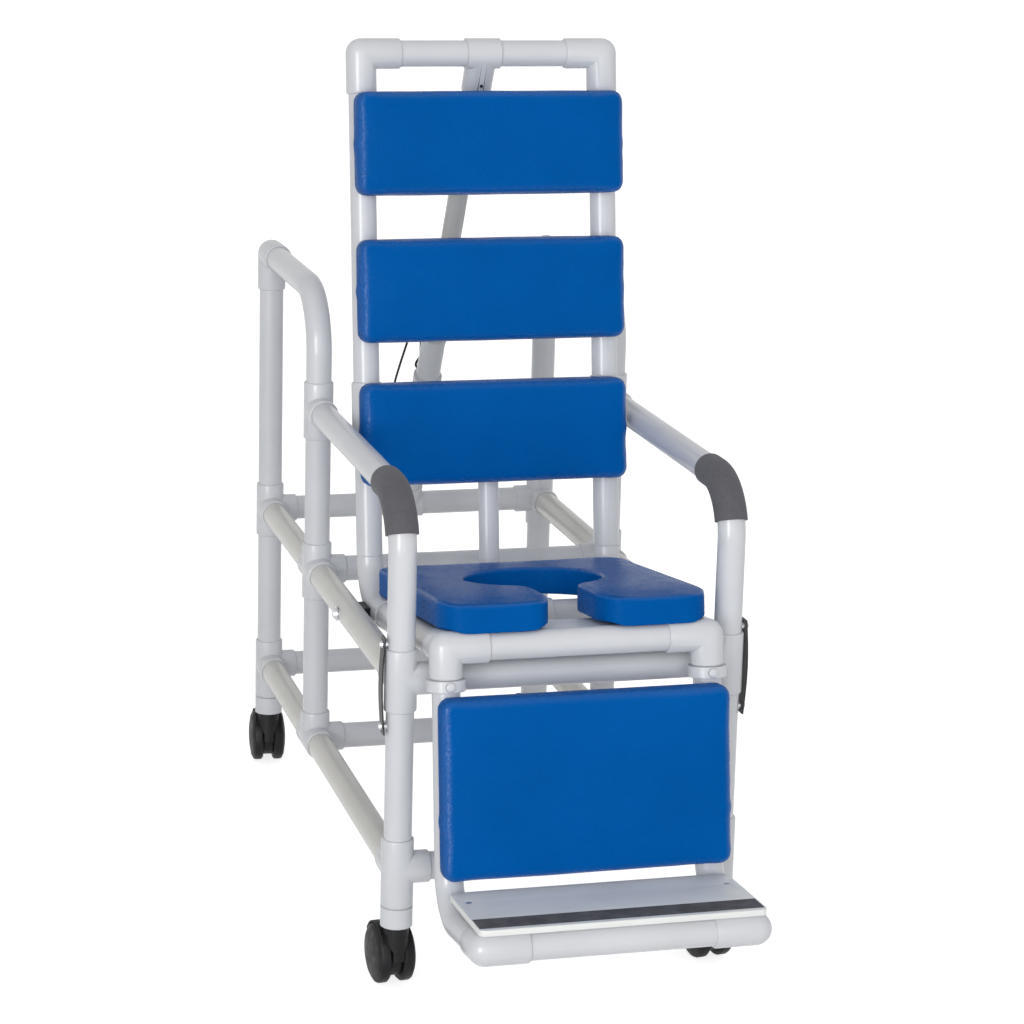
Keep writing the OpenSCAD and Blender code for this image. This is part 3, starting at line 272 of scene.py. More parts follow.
def grip_foam(name, colour):
    """Matt closed-cell foam with small pores."""
    sheet = NodeSheet(name)
    sheet.set(IOR=1.4, Sheen_Weight=0.12, Sheen_Roughness=0.6)
    tone = sheet.grain(120.0, detail=6.0, rough=0.7)
    sheet.tint(tone, scaled(colour, 0.82), scaled(colour, 1.12))
    sheet.matt(tone, 0.72, 0.9)
    pores = sheet.bump(sheet.cells(900.0), 0.4, 0.0004)
    sheet.relief(sheet.bump(sheet.grain(60.0, detail=3.0), 0.25, 0.001, pores))
    return sheet.material


def black_moulding(name, colour, low, high, texture, strength):
    """Moulded black plastic with a spark-eroded texture and worn, shinier spots."""
    sheet = NodeSheet(name)
    sheet.set(IOR=1.47, Specular_IOR_Level=0.22)
    tone = sheet.grain(45.0, detail=4.0)
    sheet.tint(tone, scaled(colour, 0.75), scaled(colour, 1.3))
    sheet.matt(sheet.grain(80.0, detail=5.0), low, high)
    eroded = sheet.grain(texture, detail=3.0)
    sheet.relief(sheet.bump(eroded, strength, 0.0004, sheet.crease(0.0012)))
    return sheet.material


def woven_webbing(name, colour):
    """Black webbing: ribs across and a twill along, on the strap's own directions."""
    sheet = NodeSheet(name)
    sheet.set(IOR=1.4, Sheen_Weight=0.3, Sheen_Roughness=0.5)
    split = sheet.node("ShaderNodeSeparateXYZ")
    sheet.link(sheet.place, split.inputs["Vector"])
    waves = []
    for axis, pitch in (("Y", 1300.0), ("Z", 2100.0)):
        waves.append(sheet.combined("SINE", sheet.combined("MULTIPLY", split.outputs[axis], by=pitch)))
    weave = sheet.ramp(sheet.combined("MULTIPLY", *waves), 0, 1, -1, 1)
    woven = sheet.blend(weave, scaled(colour, 0.6), scaled(colour, 1.5))
    sheet.link(woven, sheet.shader.inputs["Base Color"])
    sheet.matt(sheet.grain(90.0), 0.6, 0.8)
    sheet.relief(sheet.bump(weave, 0.6, 0.0005))
    return sheet.material


def pale_sheet(name, colour):
    """Smooth pale plastic sheet with faint speckle and scratches along its width."""
    sheet = NodeSheet(name)
    sheet.set(IOR=1.49)
    tone = sheet.grain(14.0, detail=4.0)
    sheet.tint(tone, scaled(colour, 0.93), colour)
    sheet.matt(sheet.grain(240.0, detail=4.0, stretch=(0.05, 1.0, 1.0)), 0.3, 0.48)
    speckle = sheet.grain(700.0, detail=2.0)
    sheet.relief(sheet.bump(speckle, 0.1, 0.0003, sheet.crease(0.0015)))
    return sheet.material


def gritty_tape(name, colour):
    """Black abrasive tape: coarse grit with single bright grains."""
    sheet = NodeSheet(name)
    sheet.set(IOR=1.5)
    grit = sheet.cells(1400.0)
    worn = sheet.grain(40.0, detail=4.0)
    sheet.tint(worn, scaled(colour, 0.7), scaled(colour, 1.5))
    sheet.matt(grit, 0.45, 0.95, 0.0, 0.6)
    sheet.relief(sheet.bump(grit, 0.8, 0.0006))
    return sheet.material


def plated_steel(name, colour):
    """Zinc-plated steel with fine turning marks."""
    sheet = NodeSheet(name)
    sheet.set(Metallic=1.0)
    tone = sheet.grain(160.0, detail=3.0)
    sheet.tint(tone, scaled(colour, 0.85), colour)
    sheet.matt(sheet.grain(300.0, detail=4.0), 0.22, 0.42)
    turned = sheet.grain(900.0, stretch=(1.0, 1.0, 0.2))
    sheet.relief(sheet.bump(turned, 0.15, 0.0002))
    return sheet.material


def rays_that_look(tree):
    """1 for a ray that comes from the camera or from gloss or glass, 0 for one that carries light."""
    path = tree.nodes.new("ShaderNodeLightPath")
    looks = path.outputs["Is Camera Ray"]
    for ray in ("Is Glossy Ray", "Is Transmission Ray"):
        either = tree.nodes.new("ShaderNodeMath")
        either.operation = "MAXIMUM"
        tree.links.new(looks, either.inputs[0])
        tree.links.new(path.outputs[ray], either.inputs[1])
        looks = either.outputs[0]
    return looks


def floor_finish(name, shade):
    """Pale floor that reads white to the camera and still takes the chair's shadow."""
    sheet = NodeSheet(name)
    sheet.set(Roughness=0.9, Specular_IOR_Level=0.1)
    sheet.shader.inputs["Base Color"].default_value = (shade, shade, shade, 1)
    glow = sheet.node("ShaderNodeEmission")
    share = sheet.combined("MULTIPLY", rays_that_look(sheet.tree), by=FLOOR_GLOW)
    sheet.link(share, glow.inputs["Strength"])
    both = sheet.node("ShaderNodeAddShader")
    sheet.link(sheet.shader.outputs["BSDF"], both.inputs[0])
    sheet.link(glow.outputs["Emission"], both.inputs[1])
    out = sheet.tree.nodes["Material Output"]
    sheet.link(both.outputs["Shader"], out.inputs["Surface"])
    return sheet.material


# Helpers that make and dress pieces


def finish_of(name):
    """The material of that name, which the finishes step has made."""
    found = bpy.data.materials.get(name)
    if found is None:
        raise RuntimeError("the finishes are made first: " + name + " is missing")
    return found


def dress_node(node, finish, rounding=0.0, angle=40.0):
    """Gives a carried CAD node its finish, merged corners, a small rounding and smooth shading."""
    piece = NODES[node]
    piece.data.materials.clear()
    piece.data.materials.append(finish_of(finish))
    for face in piece.data.polygons:
        face.use_smooth = True
        face.material_index = 0
    weld = piece.modifiers.new("merged corners", "WELD")
    weld.merge_threshold = CORNER_MERGE
    if rounding:
        bevel = piece.modifiers.new("rounded edges", "BEVEL")
        bevel.width = rounding
        bevel.segments = 2
        bevel.limit_method = "ANGLE"
        bevel.angle_limit = math.radians(angle)
        bevel.use_clamp_overlap = True
    split = piece.modifiers.new("crisp edges", "EDGE_SPLIT")
    split.split_angle = math.radians(angle)
    split.use_edge_sharp = False
    return piece


def repaint(node, finish, axes, chosen):
    """Gives the faces of a dressed CAD node that are chosen by their middles another finish."""
    data = NODES[node].data
    data.materials.append(finish_of(finish))
    turn = axes.inverted()
    for face in data.polygons:
        if chosen(turn @ face.center):
            face.material_index = len(data.materials) - 1


def make_piece(name, mesh_data, finish, body, replaced=()):
    """Links a finished mesh as a piece that rides on a body."""
    piece = bpy.data.objects.new(name, mesh_data)
    bpy.context.scene.collection.objects.link(piece)
    mesh_data.materials.clear()
    mesh_data.materials.append(finish_of(finish))
    for face in mesh_data.polygons:
        face.use_smooth = True
        face.material_index = 0
    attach(piece, body)
    if replaced:
        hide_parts(*replaced)
    return piece


def mesh_from(bm, name):
    """A mesh with its faces turned outwards; the bmesh is used up."""
    bmesh.ops.recalc_face_normals(bm, faces=bm.faces)
    data = bpy.data.meshes.new(name)
    bm.to_mesh(data)
    bm.free()
    return data


def box_of(points):
    """Lowest and highest corner of the box round some points."""
    lo = Vector(tuple(min(p[k] for p in points) for k in range(3)))
    hi = Vector(tuple(max(p[k] for p in points) for k in range(3)))
    return lo, hi


def box_in(node, axes):
    """Lowest and highest corner of a CAD node in the given axes."""
    turn = axes.inverted()
    return box_of([turn @ v.co for v in NODES[node].data.vertices])


def round_off(bm, edges, size, steps):
    """Rounds edges off with a number of flats."""
    bmesh.ops.bevel(bm, geom=edges, offset=size, segments=steps, profile=0.5, affect="EDGES",
                    material=-1, clamp_overlap=False)


def arc(centre, radius, start, end, steps):
    """Points of an arc from one angle to another, in degrees."""
    return [
        Vector((centre[0] + radius * math.cos(a), centre[1] + radius * math.sin(a), 0.0))
        for a in (math.radians(start + (end - start) * k / steps) for k in range(steps + 1))
    ]


def edges_at(bm, axis, level):
    """Edges that lie in a plane across an axis."""
    return [e for e in bm.edges if all(abs(v.co[axis] - level) < SAME_PLANE for v in e.verts)]


def applied_mesh(piece, name):
    """The piece's mesh with its modifiers applied."""
    depsgraph = bpy.context.evaluated_depsgraph_get()
    data = bpy.data.meshes.new_from_object(piece.evaluated_get(depsgraph))
    data.name = name
    return data


def remeshed(data, voxel, name):
    """The form again in small even faces."""
    work = bpy.data.objects.new("work_" + name, data)
    bpy.context.scene.collection.objects.link(work)
    remesh = work.modifiers.new("even faces", "REMESH")
    remesh.mode = "VOXEL"
    remesh.voxel_size = voxel
    made = applied_mesh(work, name)
    bpy.data.objects.remove(work)
    return made


def relax(data, times, factor=0.5):
    """Smooths a mesh, so that its remeshed steps go."""
    bm = bmesh.new()
    bm.from_mesh(data)
    for _ in range(times):
        bmesh.ops.smooth_vert(bm, verts=bm.verts, factor=factor,
                              use_axis_x=True, use_axis_y=True, use_axis_z=True)
    bm.to_mesh(data)
    bm.free()


def stretched_to(data, axis, low, high):
    """Stretches a mesh along one axis until it reaches from low to high."""
    a, b = box_of([v.co for v in data.vertices])
    for v in data.vertices:
        v.co[axis] = low + (v.co[axis] - a[axis]) * (high - low) / (b[axis] - a[axis])


def shrunk(data, slack):
    """Draws every point in along its normal."""
    normals = [v.normal.copy() for v in data.vertices]
    for v, n in zip(data.vertices, normals):
        v.co -= n * slack


def evened(moves, edges, times):
    """Evens out a field of moves along the edges of its mesh, so that no sharp fold is left."""
    near = [[] for _ in moves]
    for a, b in edges:
        near[a].append(b)
        near[b].append(a)
    for _ in range(times):
        moves = [
            0.4 * move + 0.6 * sum((moves[j] for j in ring), Vector()) / len(ring) if ring else move
            for move, ring in zip(moves, near)
        ]
    return moves


def swollen(data, name, rules, cap, held):
    """Blows a closed skin up as cloth, then eases it back to the cap."""
    work = bpy.data.objects.new("work_" + name, data)
    scene = bpy.context.scene
    scene.collection.objects.link(work)
    start = [v.co.copy() for v in data.vertices]
    group = work.vertex_groups.new(name="held")
    group.add([k for k, p in enumerate(start) if held(p)], 1.0, "REPLACE")
    cloth = work.modifiers.new("skin", "CLOTH")
    skin = cloth.settings
    skin.quality = 4
    skin.mass = 0.3
    skin.tension_stiffness = 25
    skin.compression_stiffness = 25
    skin.shear_stiffness = 10
    skin.bending_stiffness = 1.5
    skin.use_pressure = True
    skin.uniform_pressure_force = rules.pressure
    skin.effector_weights.gravity = 0
    skin.vertex_group_mass = "held"
    cloth.point_cache.frame_start = 1
    cloth.point_cache.frame_end = CLOTH_FRAMES
    for step in range(1, CLOTH_FRAMES + 1):
        scene.frame_set(step)
    made = applied_mesh(work, name)
    moves = [v.co - p for v, p in zip(made.vertices, start)]
    ease = min(1.0, cap / max(m.length for m in moves))
    moves = [m * ease for m in moves]
    moves = evened(moves, [tuple(e.vertices) for e in made.edges], rules.even_steps)
    for v, p, move in zip(made.vertices, start, moves):
        v.co = p + move
    scene.frame_set(1)
    bpy.data.objects.remove(work)
    return made


def finer(data, name):
    """One subdivision, applied."""
    work = bpy.data.objects.new("work_" + name, data)
    bpy.context.scene.collection.objects.link(work)
    step = work.modifiers.new("finer", "SUBSURF")
    step.levels = 1
    step.render_levels = 1
    made = applied_mesh(work, name)
    bpy.data.objects.remove(work)
    return made


def wander(point, scale, seed):
    """Smooth noise from -1 to 1."""
    place = (point.x * scale + seed, point.y * scale - seed, point.z * scale + 2 * seed)
    return noise.noise(Vector(place))


# Settings


class ShowerChairStage(bpy.types.PropertyGroup):
    """Lamps, air and floor"""

    key_power: FloatProperty(
        name="Key lamp",
        description="Power of the small lamp at the camera's left",
        default=60.0, min=0.0, unit="POWER",
    )
    top_power: FloatProperty(
        name="Top lamp",
        description="Power of the broad lamp overhead",
        default=8.0, min=0.0, unit="POWER",
    )
    fill_power: FloatProperty(
        name="Front lamp",
        description="Power of the broad lamp at the left front",
        default=380.0, min=0.0, unit="POWER",
    )
    side_power: FloatProperty(
        name="Side lamp",
        description="Power of the soft lamp at the right",
        default=20.0, min=0.0, unit="POWER",
    )
    streak_power: FloatProperty(
        name="Streak lamp",
        description="Power of the lamp that only gloss shows",
        default=420.0, min=0.0, unit="POWER",
    )
    air_light: FloatProperty(
        name="Air light",
        description="Strength of the even light from all round",
        default=0.46, min=0.0,
    )
    floor_shade: FloatProperty(
        name="Floor shade",
        description="Lightness of the floor",
        default=0.8, min=0.0, max=1.0,
    )


class ShowerChairFinish(bpy.types.PropertyGroup):
    """Colours of the finishes"""

    pipe: FloatVectorProperty(
        name="Pipe",
        description="Colour of the white pipe",
        subtype="COLOR", default=picture_colour(216, 218, 222), min=0, max=1,
    )
    # Painted shade: the pipes that run to the back get a darker, warmer copy of the white pipe's
    # colour, standing in for the shade they lie in
    side_pipe_shade: FloatVectorProperty(
        name="Side pipe shade",
        description="Colour of the pipes that run to the back",
        subtype="COLOR", default=picture_colour(213, 212, 207), min=0, max=1,
    )
    vinyl: FloatVectorProperty(
        name="Vinyl",
        description="Colour of the pads",
        subtype="COLOR", default=picture_colour(0, 88, 166), min=0, max=1,
    )
    foam: FloatVectorProperty(
        name="Foam",
        description="Colour of the armrest grips",
        subtype="COLOR", default=picture_colour(88, 88, 94), min=0, max=1,
    )
    caster: FloatVectorProperty(
        name="Caster",
        description="Colour of the casters",
        subtype="COLOR", default=picture_colour(20, 20, 22), min=0, max=1,
    )
    plate: FloatVectorProperty(
        name="Plate",
        description="Colour of the foot plate and seat board",
        subtype="COLOR", default=picture_colour(238, 240, 238), min=0, max=1,
    )
    crease: FloatProperty(
        name="Crease",
        description="Rounding seen where two pipes meet in a fitting",
        default=0.0025, min=0.0, unit="LENGTH",
    )


class ShowerChairPads(bpy.types.PropertyGroup):
    """Shape and swelling of the pads"""

    voxel: FloatProperty(
        name="Face size",
        description="Size of a pad's faces before it is blown up",
        default=0.004, min=0.003, max=0.01, unit="LENGTH",
    )
    pressure: FloatProperty(
        name="Pressure",
        description="Air pressure in a pad while it is blown up",
        default=4.0, min=0.0,
    )
    cap: FloatProperty(
        name="Most swelling",
        description="How far a point of a pad may move",
        default=0.005, min=0.0, unit="LENGTH",
    )
    seat_cap: FloatProperty(
        name="Most seat swelling",
        description="How far a point of the seat cushion may move",
        default=0.002, min=0.0, unit="LENGTH",
    )
    seat_edge: FloatProperty(
        name="Seat edge",
        description="Rounding of the seat cushion's top edge",
        default=0.006, min=0.0, unit="LENGTH",
    )
    slack: FloatProperty(
        name="Slack",
        description="How much smaller a pad starts",
        default=0.0015, min=0.0, unit="LENGTH",
    )
    relax_steps: IntProperty(
        name="Relax",
        description="Rounds of smoothing before a pad is blown up",
        default=1, min=0, max=20,
    )
    even_steps: IntProperty(
        name="Even",
        description="Rounds that even out how a blown-up pad swells",
        default=5, min=0, max=40,
    )
    corner: FloatProperty(
        name="Pad corner",
        description="Corner radius of a back pad's outline",
        default=0.018, min=0.0, unit="LENGTH",
    )
    edge: FloatProperty(
        name="Pad edge",
        description="Rounding of a pad's front edge",
        default=0.014, min=0.0, unit="LENGTH",
    )
    proud: FloatProperty(
        name="Proud",
        description="How far a pad's sides stand proud of its solid",
        default=0.003, min=0.0, unit="LENGTH",
    )
    back_edge: FloatProperty(
        name="Back edge",
        description="Rounding of a pad's edge at its board",
        default=0.004, min=0.0, unit="LENGTH",
    )


# Operators


class SHOWERCHAIR_OT_finishes(bpy.types.Operator):
    """Makes the materials of the chair"""

    bl_idname = "showerchair.finishes"
    bl_label = "Make finishes"

    def execute(self, context):
        look = context.scene.shower_chair_finish
        moulded_pipe("white pipe", tuple(look.pipe), look.crease)
        # Painted shade: the same pipe again, in the darker, warmer colour of the pipes that run to the
        # back
        moulded_pipe("side pipe with painted shade", tuple(look.side_pipe_shade), look.crease)
        ahead = SEAT_AXES.to_3x3() @ Vector((0, -1, 0))
        upward = SEAT_AXES.to_3x3() @ Vector((0, 0, 1))
        stretched_vinyl("blue vinyl", tuple(look.vinyl), ahead, (1.0, 1.0, 1.0))
        stretched_vinyl("blue seat vinyl", tuple(look.vinyl), upward, (0.35, 1.6, 1.6))
        grip_foam("grip foam", tuple(look.foam))
        black_moulding("caster black", tuple(look.caster), 0.4, 0.6, 700.0, 0.12)
        black_moulding("nylon black", picture_colour(34, 34, 36), 0.4, 0.6, 900.0, 0.1)
        woven_webbing("strap webbing", picture_colour(30, 30, 31))
        pale_sheet("pale sheet", tuple(look.plate))
        gritty_tape("gritty tape", picture_colour(74, 74, 78))
        plated_steel("bright steel", picture_colour(196, 198, 202))
        return {"FINISHED"}


class SHOWERCHAIR_OT_pipework(bpy.types.Operator):
    """Dresses the pipes and their moulded fittings"""

    bl_idname = "showerchair.pipework"
    bl_label = "Dress pipework"

    def execute(self, context):
        for node in WHITE_PIPE + FITTINGS:
            dress_node(node, "white pipe")
        # The pipes that run to the back get the pipe finish with painted shade
        for node in SHADED_PIPE:
            dress_node(node, "side pipe with painted shade")
        repaint("strut_head", "nylon black", STRUT_AXES, self.head_screw)
        return {"FINISHED"}

    @staticmethod
    def head_screw(p):
        """The screw that holds the strut's head, in front of its stub."""
        level = abs(p.z - STRUT_HEAD + HEAD_SCREW_DOWN) < HEAD_SCREW_REACH
        return level and p.y < -FITTING_RADIUS + 0.0005


class SHOWERCHAIR_OT_casters(bpy.types.Operator):
    """Dresses the casters and their wheels"""

    bl_idname = "showerchair.casters"
    bl_label = "Dress casters"

    def execute(self, context):
        for corner in CORNERS:
            dress_node("caster_" + corner, "caster black")
            for side in ("outer", "inner"):
                dress_node("wheel_" + corner + "_" + side, "caster black")
        return {"FINISHED"}


class SHOWERCHAIR_OT_small_parts(bpy.types.Operator):
    """Dresses grips, straps, spacers, bolts, panels and the release lever"""

    bl_idname = "showerchair.small_parts"
    bl_label = "Dress small parts"

    def execute(self, context):
        dress_node("arm_grips", "grip foam")
        dress_node("side_straps", "strap webbing")
        dress_node("pivot_spacers", "nylon black")
        dress_node("release_lever", "nylon black")
        dress_node("base_hardware", "bright steel")
        dress_node("tilt_hardware", "bright steel")
        repaint("tilt_hardware", "white pipe", SEAT_AXES,
                lambda p: p.y < -BUTTON_AHEAD and abs(p.z + COLLAR_DOWN) < COLLAR_REACH)
        dress_node("gas_cylinder", "bright steel")
        dress_node("gas_rod", "bright steel")
        dress_node("seat_board", "pale sheet")
        dress_node("foot_plate", "pale sheet", rounding=0.0015)
        dress_node("foot_strip", "gritty tape")
        return {"FINISHED"}


def blown_up(context, bm, node, lo, hi, board_side, wrinkle, finish="blue vinyl", lip=None):
    """Turns a plain block in the seat frame's axes into a blown-up vinyl piece.

    board_side is the axis and the end of the box where the piece lies on its board.
    """
    rules = context.scene.shower_chair_pads
    axis, top = board_side
    board = (hi if top else lo)[axis]
    near_board = 4 * rules.slack
    data = remeshed(mesh_from(bm, node + "_block"), rules.voxel, node)
    relax(data, rules.relax_steps)
    shrunk(data, rules.slack)
    cap = rules.seat_cap if lip else rules.cap
    data = swollen(data, node, rules, cap, lambda p: abs(p[axis] - board) < near_board)
    for across in {0, 1, 2} - {axis}:
        stretched_to(data, across, lo[across] - rules.proud, hi[across] + rules.proud)
    a, b = box_of([v.co for v in data.vertices])
    settle = board - (b if top else a)[axis]
    for v in data.vertices:
        v.co[axis] += settle
        if abs(v.co[axis] - board) > near_board:
            v.co = wrinkle(v.co.copy(), lo, hi)
        if lip:
            v.co = lip(v.co.copy(), lo, hi)
    data = finer(data, node)
    data.transform(SEAT_AXES)
    piece = make_piece(node + "_vinyl", data, finish, "tilt_frame", (node,))
    return piece


def pad_wrinkle(p, lo, hi):
    """Small puckers along the short sides, a tuck in them and an uneven face."""
    half = (hi.x - lo.x) / 2
    side = max(0.0, abs(p.x) / half - 0.94) / 0.06
    tall = (hi.z - lo.z) > half
    tuck_at = lo.z + (0.32 if tall else 0.5) * (hi.z - lo.z)
    tuck = TUCK_DEEP * math.exp(-(((p.z - tuck_at) / TUCK_WIDE) ** 2))
    p.x += math.copysign(side * (PUCKER_DEEP * wander(p, 50.0, 3.1) + tuck), p.x)
    p.y += FACE_WAVE * wander(p, 9.0, 1.7)
    p.z += FACE_WAVE * wander(p, 14.0, 5.3)
    return p


class SHOWERCHAIR_OT_back_pads(bpy.types.Operator):
    """Blows up the back pads and the calf pad"""

    bl_idname = "showerchair.back_pads"
    bl_label = "Make back and calf pads"

    def execute(self, context):
        rules = context.scene.shower_chair_pads
        for node in BACK_PADS + ("calf_pad",):
            lo, hi = box_in(node, SEAT_AXES)
            bm = bmesh.new()
            bmesh.ops.create_cube(bm, size=1.0)
            bmesh.ops.scale(bm, vec=hi - lo, verts=bm.verts)
            bmesh.ops.translate(bm, vec=(lo + hi) / 2, verts=bm.verts)
            upright = [e for e in bm.edges if abs(e.verts[0].co.y - e.verts[1].co.y) > 0.001]
            round_off(bm, upright, rules.corner, 6)
            round_off(bm, edges_at(bm, 1, lo.y), rules.edge, 4)
            round_off(bm, edges_at(bm, 1, hi.y), rules.back_edge, 2)
            blown_up(context, bm, node, lo, hi, (1, True), pad_wrinkle)
        return {"FINISHED"}


# The seat cushion's outline: its round opening, its front gap and its corners, in metres
HOLE_RADIUS = 0.104
HOLE_AHEAD = 0.172
GAP_HALF = 0.034
SEAT_CORNER = 0.042
NECK_RADIUS = 0.042

# The lip of the cushion in front of the front bar, and how its top slopes down to it
BAR_AHEAD = 0.415
LIP_AHEAD = 0.011
LIP_DEEP = 0.03
LIP_DOWN = 0.009
SLOPE_DEEP = 0.09
SLOPE_DOWN = 0.004


def cushion_outline(lo, hi):
    """Outline of the seat cushion, from its back right corner round to the left and the opening."""
    x, front, rear = hi.x - SEAT_CORNER, lo.y + SEAT_CORNER, hi.y - SEAT_CORNER
    reach = HOLE_RADIUS + NECK_RADIUS
    beside = GAP_HALF + NECK_RADIUS
    run = math.sqrt(reach * reach - beside * beside)
    lean = math.degrees(math.atan2(run, beside))
    neck = -HOLE_AHEAD - run
    return (
        arc((x, rear), SEAT_CORNER, 0, 90, 8)
        + arc((-x, rear), SEAT_CORNER, 90, 180, 8)
        + arc((-x, front), SEAT_CORNER, 180, 270, 8)
        + arc((-GAP_HALF - SEAT_CORNER, front), SEAT_CORNER, 270, 360, 8)
        + arc((-beside, neck), NECK_RADIUS, 0, lean, 6)
        + arc((0.0, -HOLE_AHEAD), HOLE_RADIUS, 180 + lean, -lean, 36)[1:-1]
        + arc((beside, neck), NECK_RADIUS, 180 - lean, 180, 6)
        + arc((GAP_HALF + SEAT_CORNER, front), SEAT_CORNER, 180, 270, 8)
        + arc((x, front), SEAT_CORNER, 270, 360, 8)
    )


def seat_wrinkle(p, lo, hi):
    """Pull lines along the cushion's long sides and an uneven top."""
    half = (hi.x - lo.x) / 2
    side = min(1.0, max(0.0, abs(p.x) / half - 0.95) / 0.04)
    lines = math.sin(p.z * 2 * math.pi / LINE_PITCH + 1.2 * wander(p, 8.0, 2.2))
    share = 0.7 + 0.3 * wander(p, 16.0, 7.7)
    p.x -= math.copysign(LINE_DEEP * side * share * (0.5 + 0.5 * lines), p.x)
    p.z += TOP_WAVE * wander(p, 11.0, 4.4)
    return p


def seat_lip(p, lo, hi):
    """Draws the cushion's front over the front bar, clear of its elbows."""
    near = min(1.0, max(0.0, (lo.y + LIP_DEEP - p.y) / LIP_DEEP))
    p.y -= LIP_AHEAD * near * near * (3 - 2 * near)
    slope = min(1.0, max(0.0, (lo.y + SLOPE_DEEP - p.y) / SLOPE_DEEP))
    top = hi.z - SLOPE_DOWN * slope * slope
    over = max(0.0, -BAR_AHEAD - p.y)
    drop = FITTING_RADIUS - math.sqrt(max(0.0, FITTING_RADIUS * FITTING_RADIUS - over * over))
    under = lo.z - min(LIP_DOWN, 0.9 * drop)
    p.z = under + (p.z - lo.z) * (top - under) / (hi.z - lo.z)
    return p


class SHOWERCHAIR_OT_seat_cushion(bpy.types.Operator):
    """Blows up the seat cushion with its round opening"""

    bl_idname = "showerchair.seat_cushion"
    bl_label = "Make seat cushion"

    def execute(self, context):
        rules = context.scene.shower_chair_pads
        lo, hi = box_in("seat_cushion", SEAT_AXES)
        bm = bmesh.new()
        ring = [bm.verts.new(p + Vector((0, 0, lo.z))) for p in cushion_outline(lo, hi)]
        base = bm.faces.new(ring)
        raised = bmesh.ops.extrude_face_region(bm, geom=[base])
        risen = [g for g in raised["geom"] if isinstance(g, bmesh.types.BMVert)]
        bmesh.ops.translate(bm, vec=(0, 0, hi.z - lo.z), verts=risen)
        round_off(bm, edges_at(bm, 2, hi.z), rules.seat_edge, 4)
        round_off(bm, edges_at(bm, 2, lo.z), rules.back_edge, 2)
        blown_up(context, bm, "seat_cushion", lo, hi, (2, False), seat_wrinkle,
                 "blue seat vinyl", seat_lip)
        return {"FINISHED"}


# The release cable's route in the strut's axes, in metres: across, behind, along
CABLE_ROUTE = (
    (-0.011, 0.034, 0.295), (-0.015, 0.0335, 0.299), (-0.016, 0.032, 0.308), (-0.012, 0.030, 0.319),
    (-0.008, 0.0285, 0.332), (-0.008, 0.0285, 0.348), (-0.014, 0.029, 0.364), (-0.022, 0.030, 0.378),
    (-0.028, 0.030, 0.391), (-0.033, 0.028, 0.402), (-0.036, 0.024, 0.400), (-0.039, 0.020, 0.384),
    (-0.042, 0.018, 0.362), (-0.046, 0.017, 0.338), (-0.049, 0.017, 0.313), (-0.052, 0.017, 0.288),
    (-0.054, 0.017, 0.260), (-0.054, 0.017, 0.230), (-0.053, 0.018, 0.200), (-0.050, 0.019, 0.170),
    (-0.047, 0.020, 0.145), (-0.043, 0.020, 0.120), (-0.039, 0.018, 0.100), (-0.035, 0.014, 0.084),
    (-0.031, 0.008, 0.072), (-0.027, 0.002, 0.064), (-0.0236, 0.0, 0.062), (-0.019, 0.0, 0.062),
)
CABLE_RADIUS = 0.002


class SHOWERCHAIR_OT_release_cable(bpy.types.Operator):
    """Draws the release cable as a smooth sheathed line beside the strut"""

    bl_idname = "showerchair.release_cable"
    bl_label = "Make release cable"

    def execute(self, context):
        curve = bpy.data.curves.new("release_cable_line", "CURVE")
        curve.dimensions = "3D"
        curve.bevel_depth = CABLE_RADIUS
        curve.bevel_resolution = 3
        curve.use_fill_caps = True
        curve.resolution_u = 6
        line = curve.splines.new("NURBS")
        line.points.add(len(CABLE_ROUTE) - 1)
        for point, place in zip(line.points, CABLE_ROUTE):
            point.co = (*place, 1)
        line.use_endpoint_u = True
        line.order_u = 4
        work = bpy.data.objects.new("work_cable", curve)
        context.scene.collection.objects.link(work)
        data = applied_mesh(work, "release_cable_sheath")
        bpy.data.objects.remove(work)
        data.transform(STRUT_AXES)
        make_piece("release_cable_sheath", data, "nylon black", "strut_outer",
                   ("release_cable",))
        return {"FINISHED"}


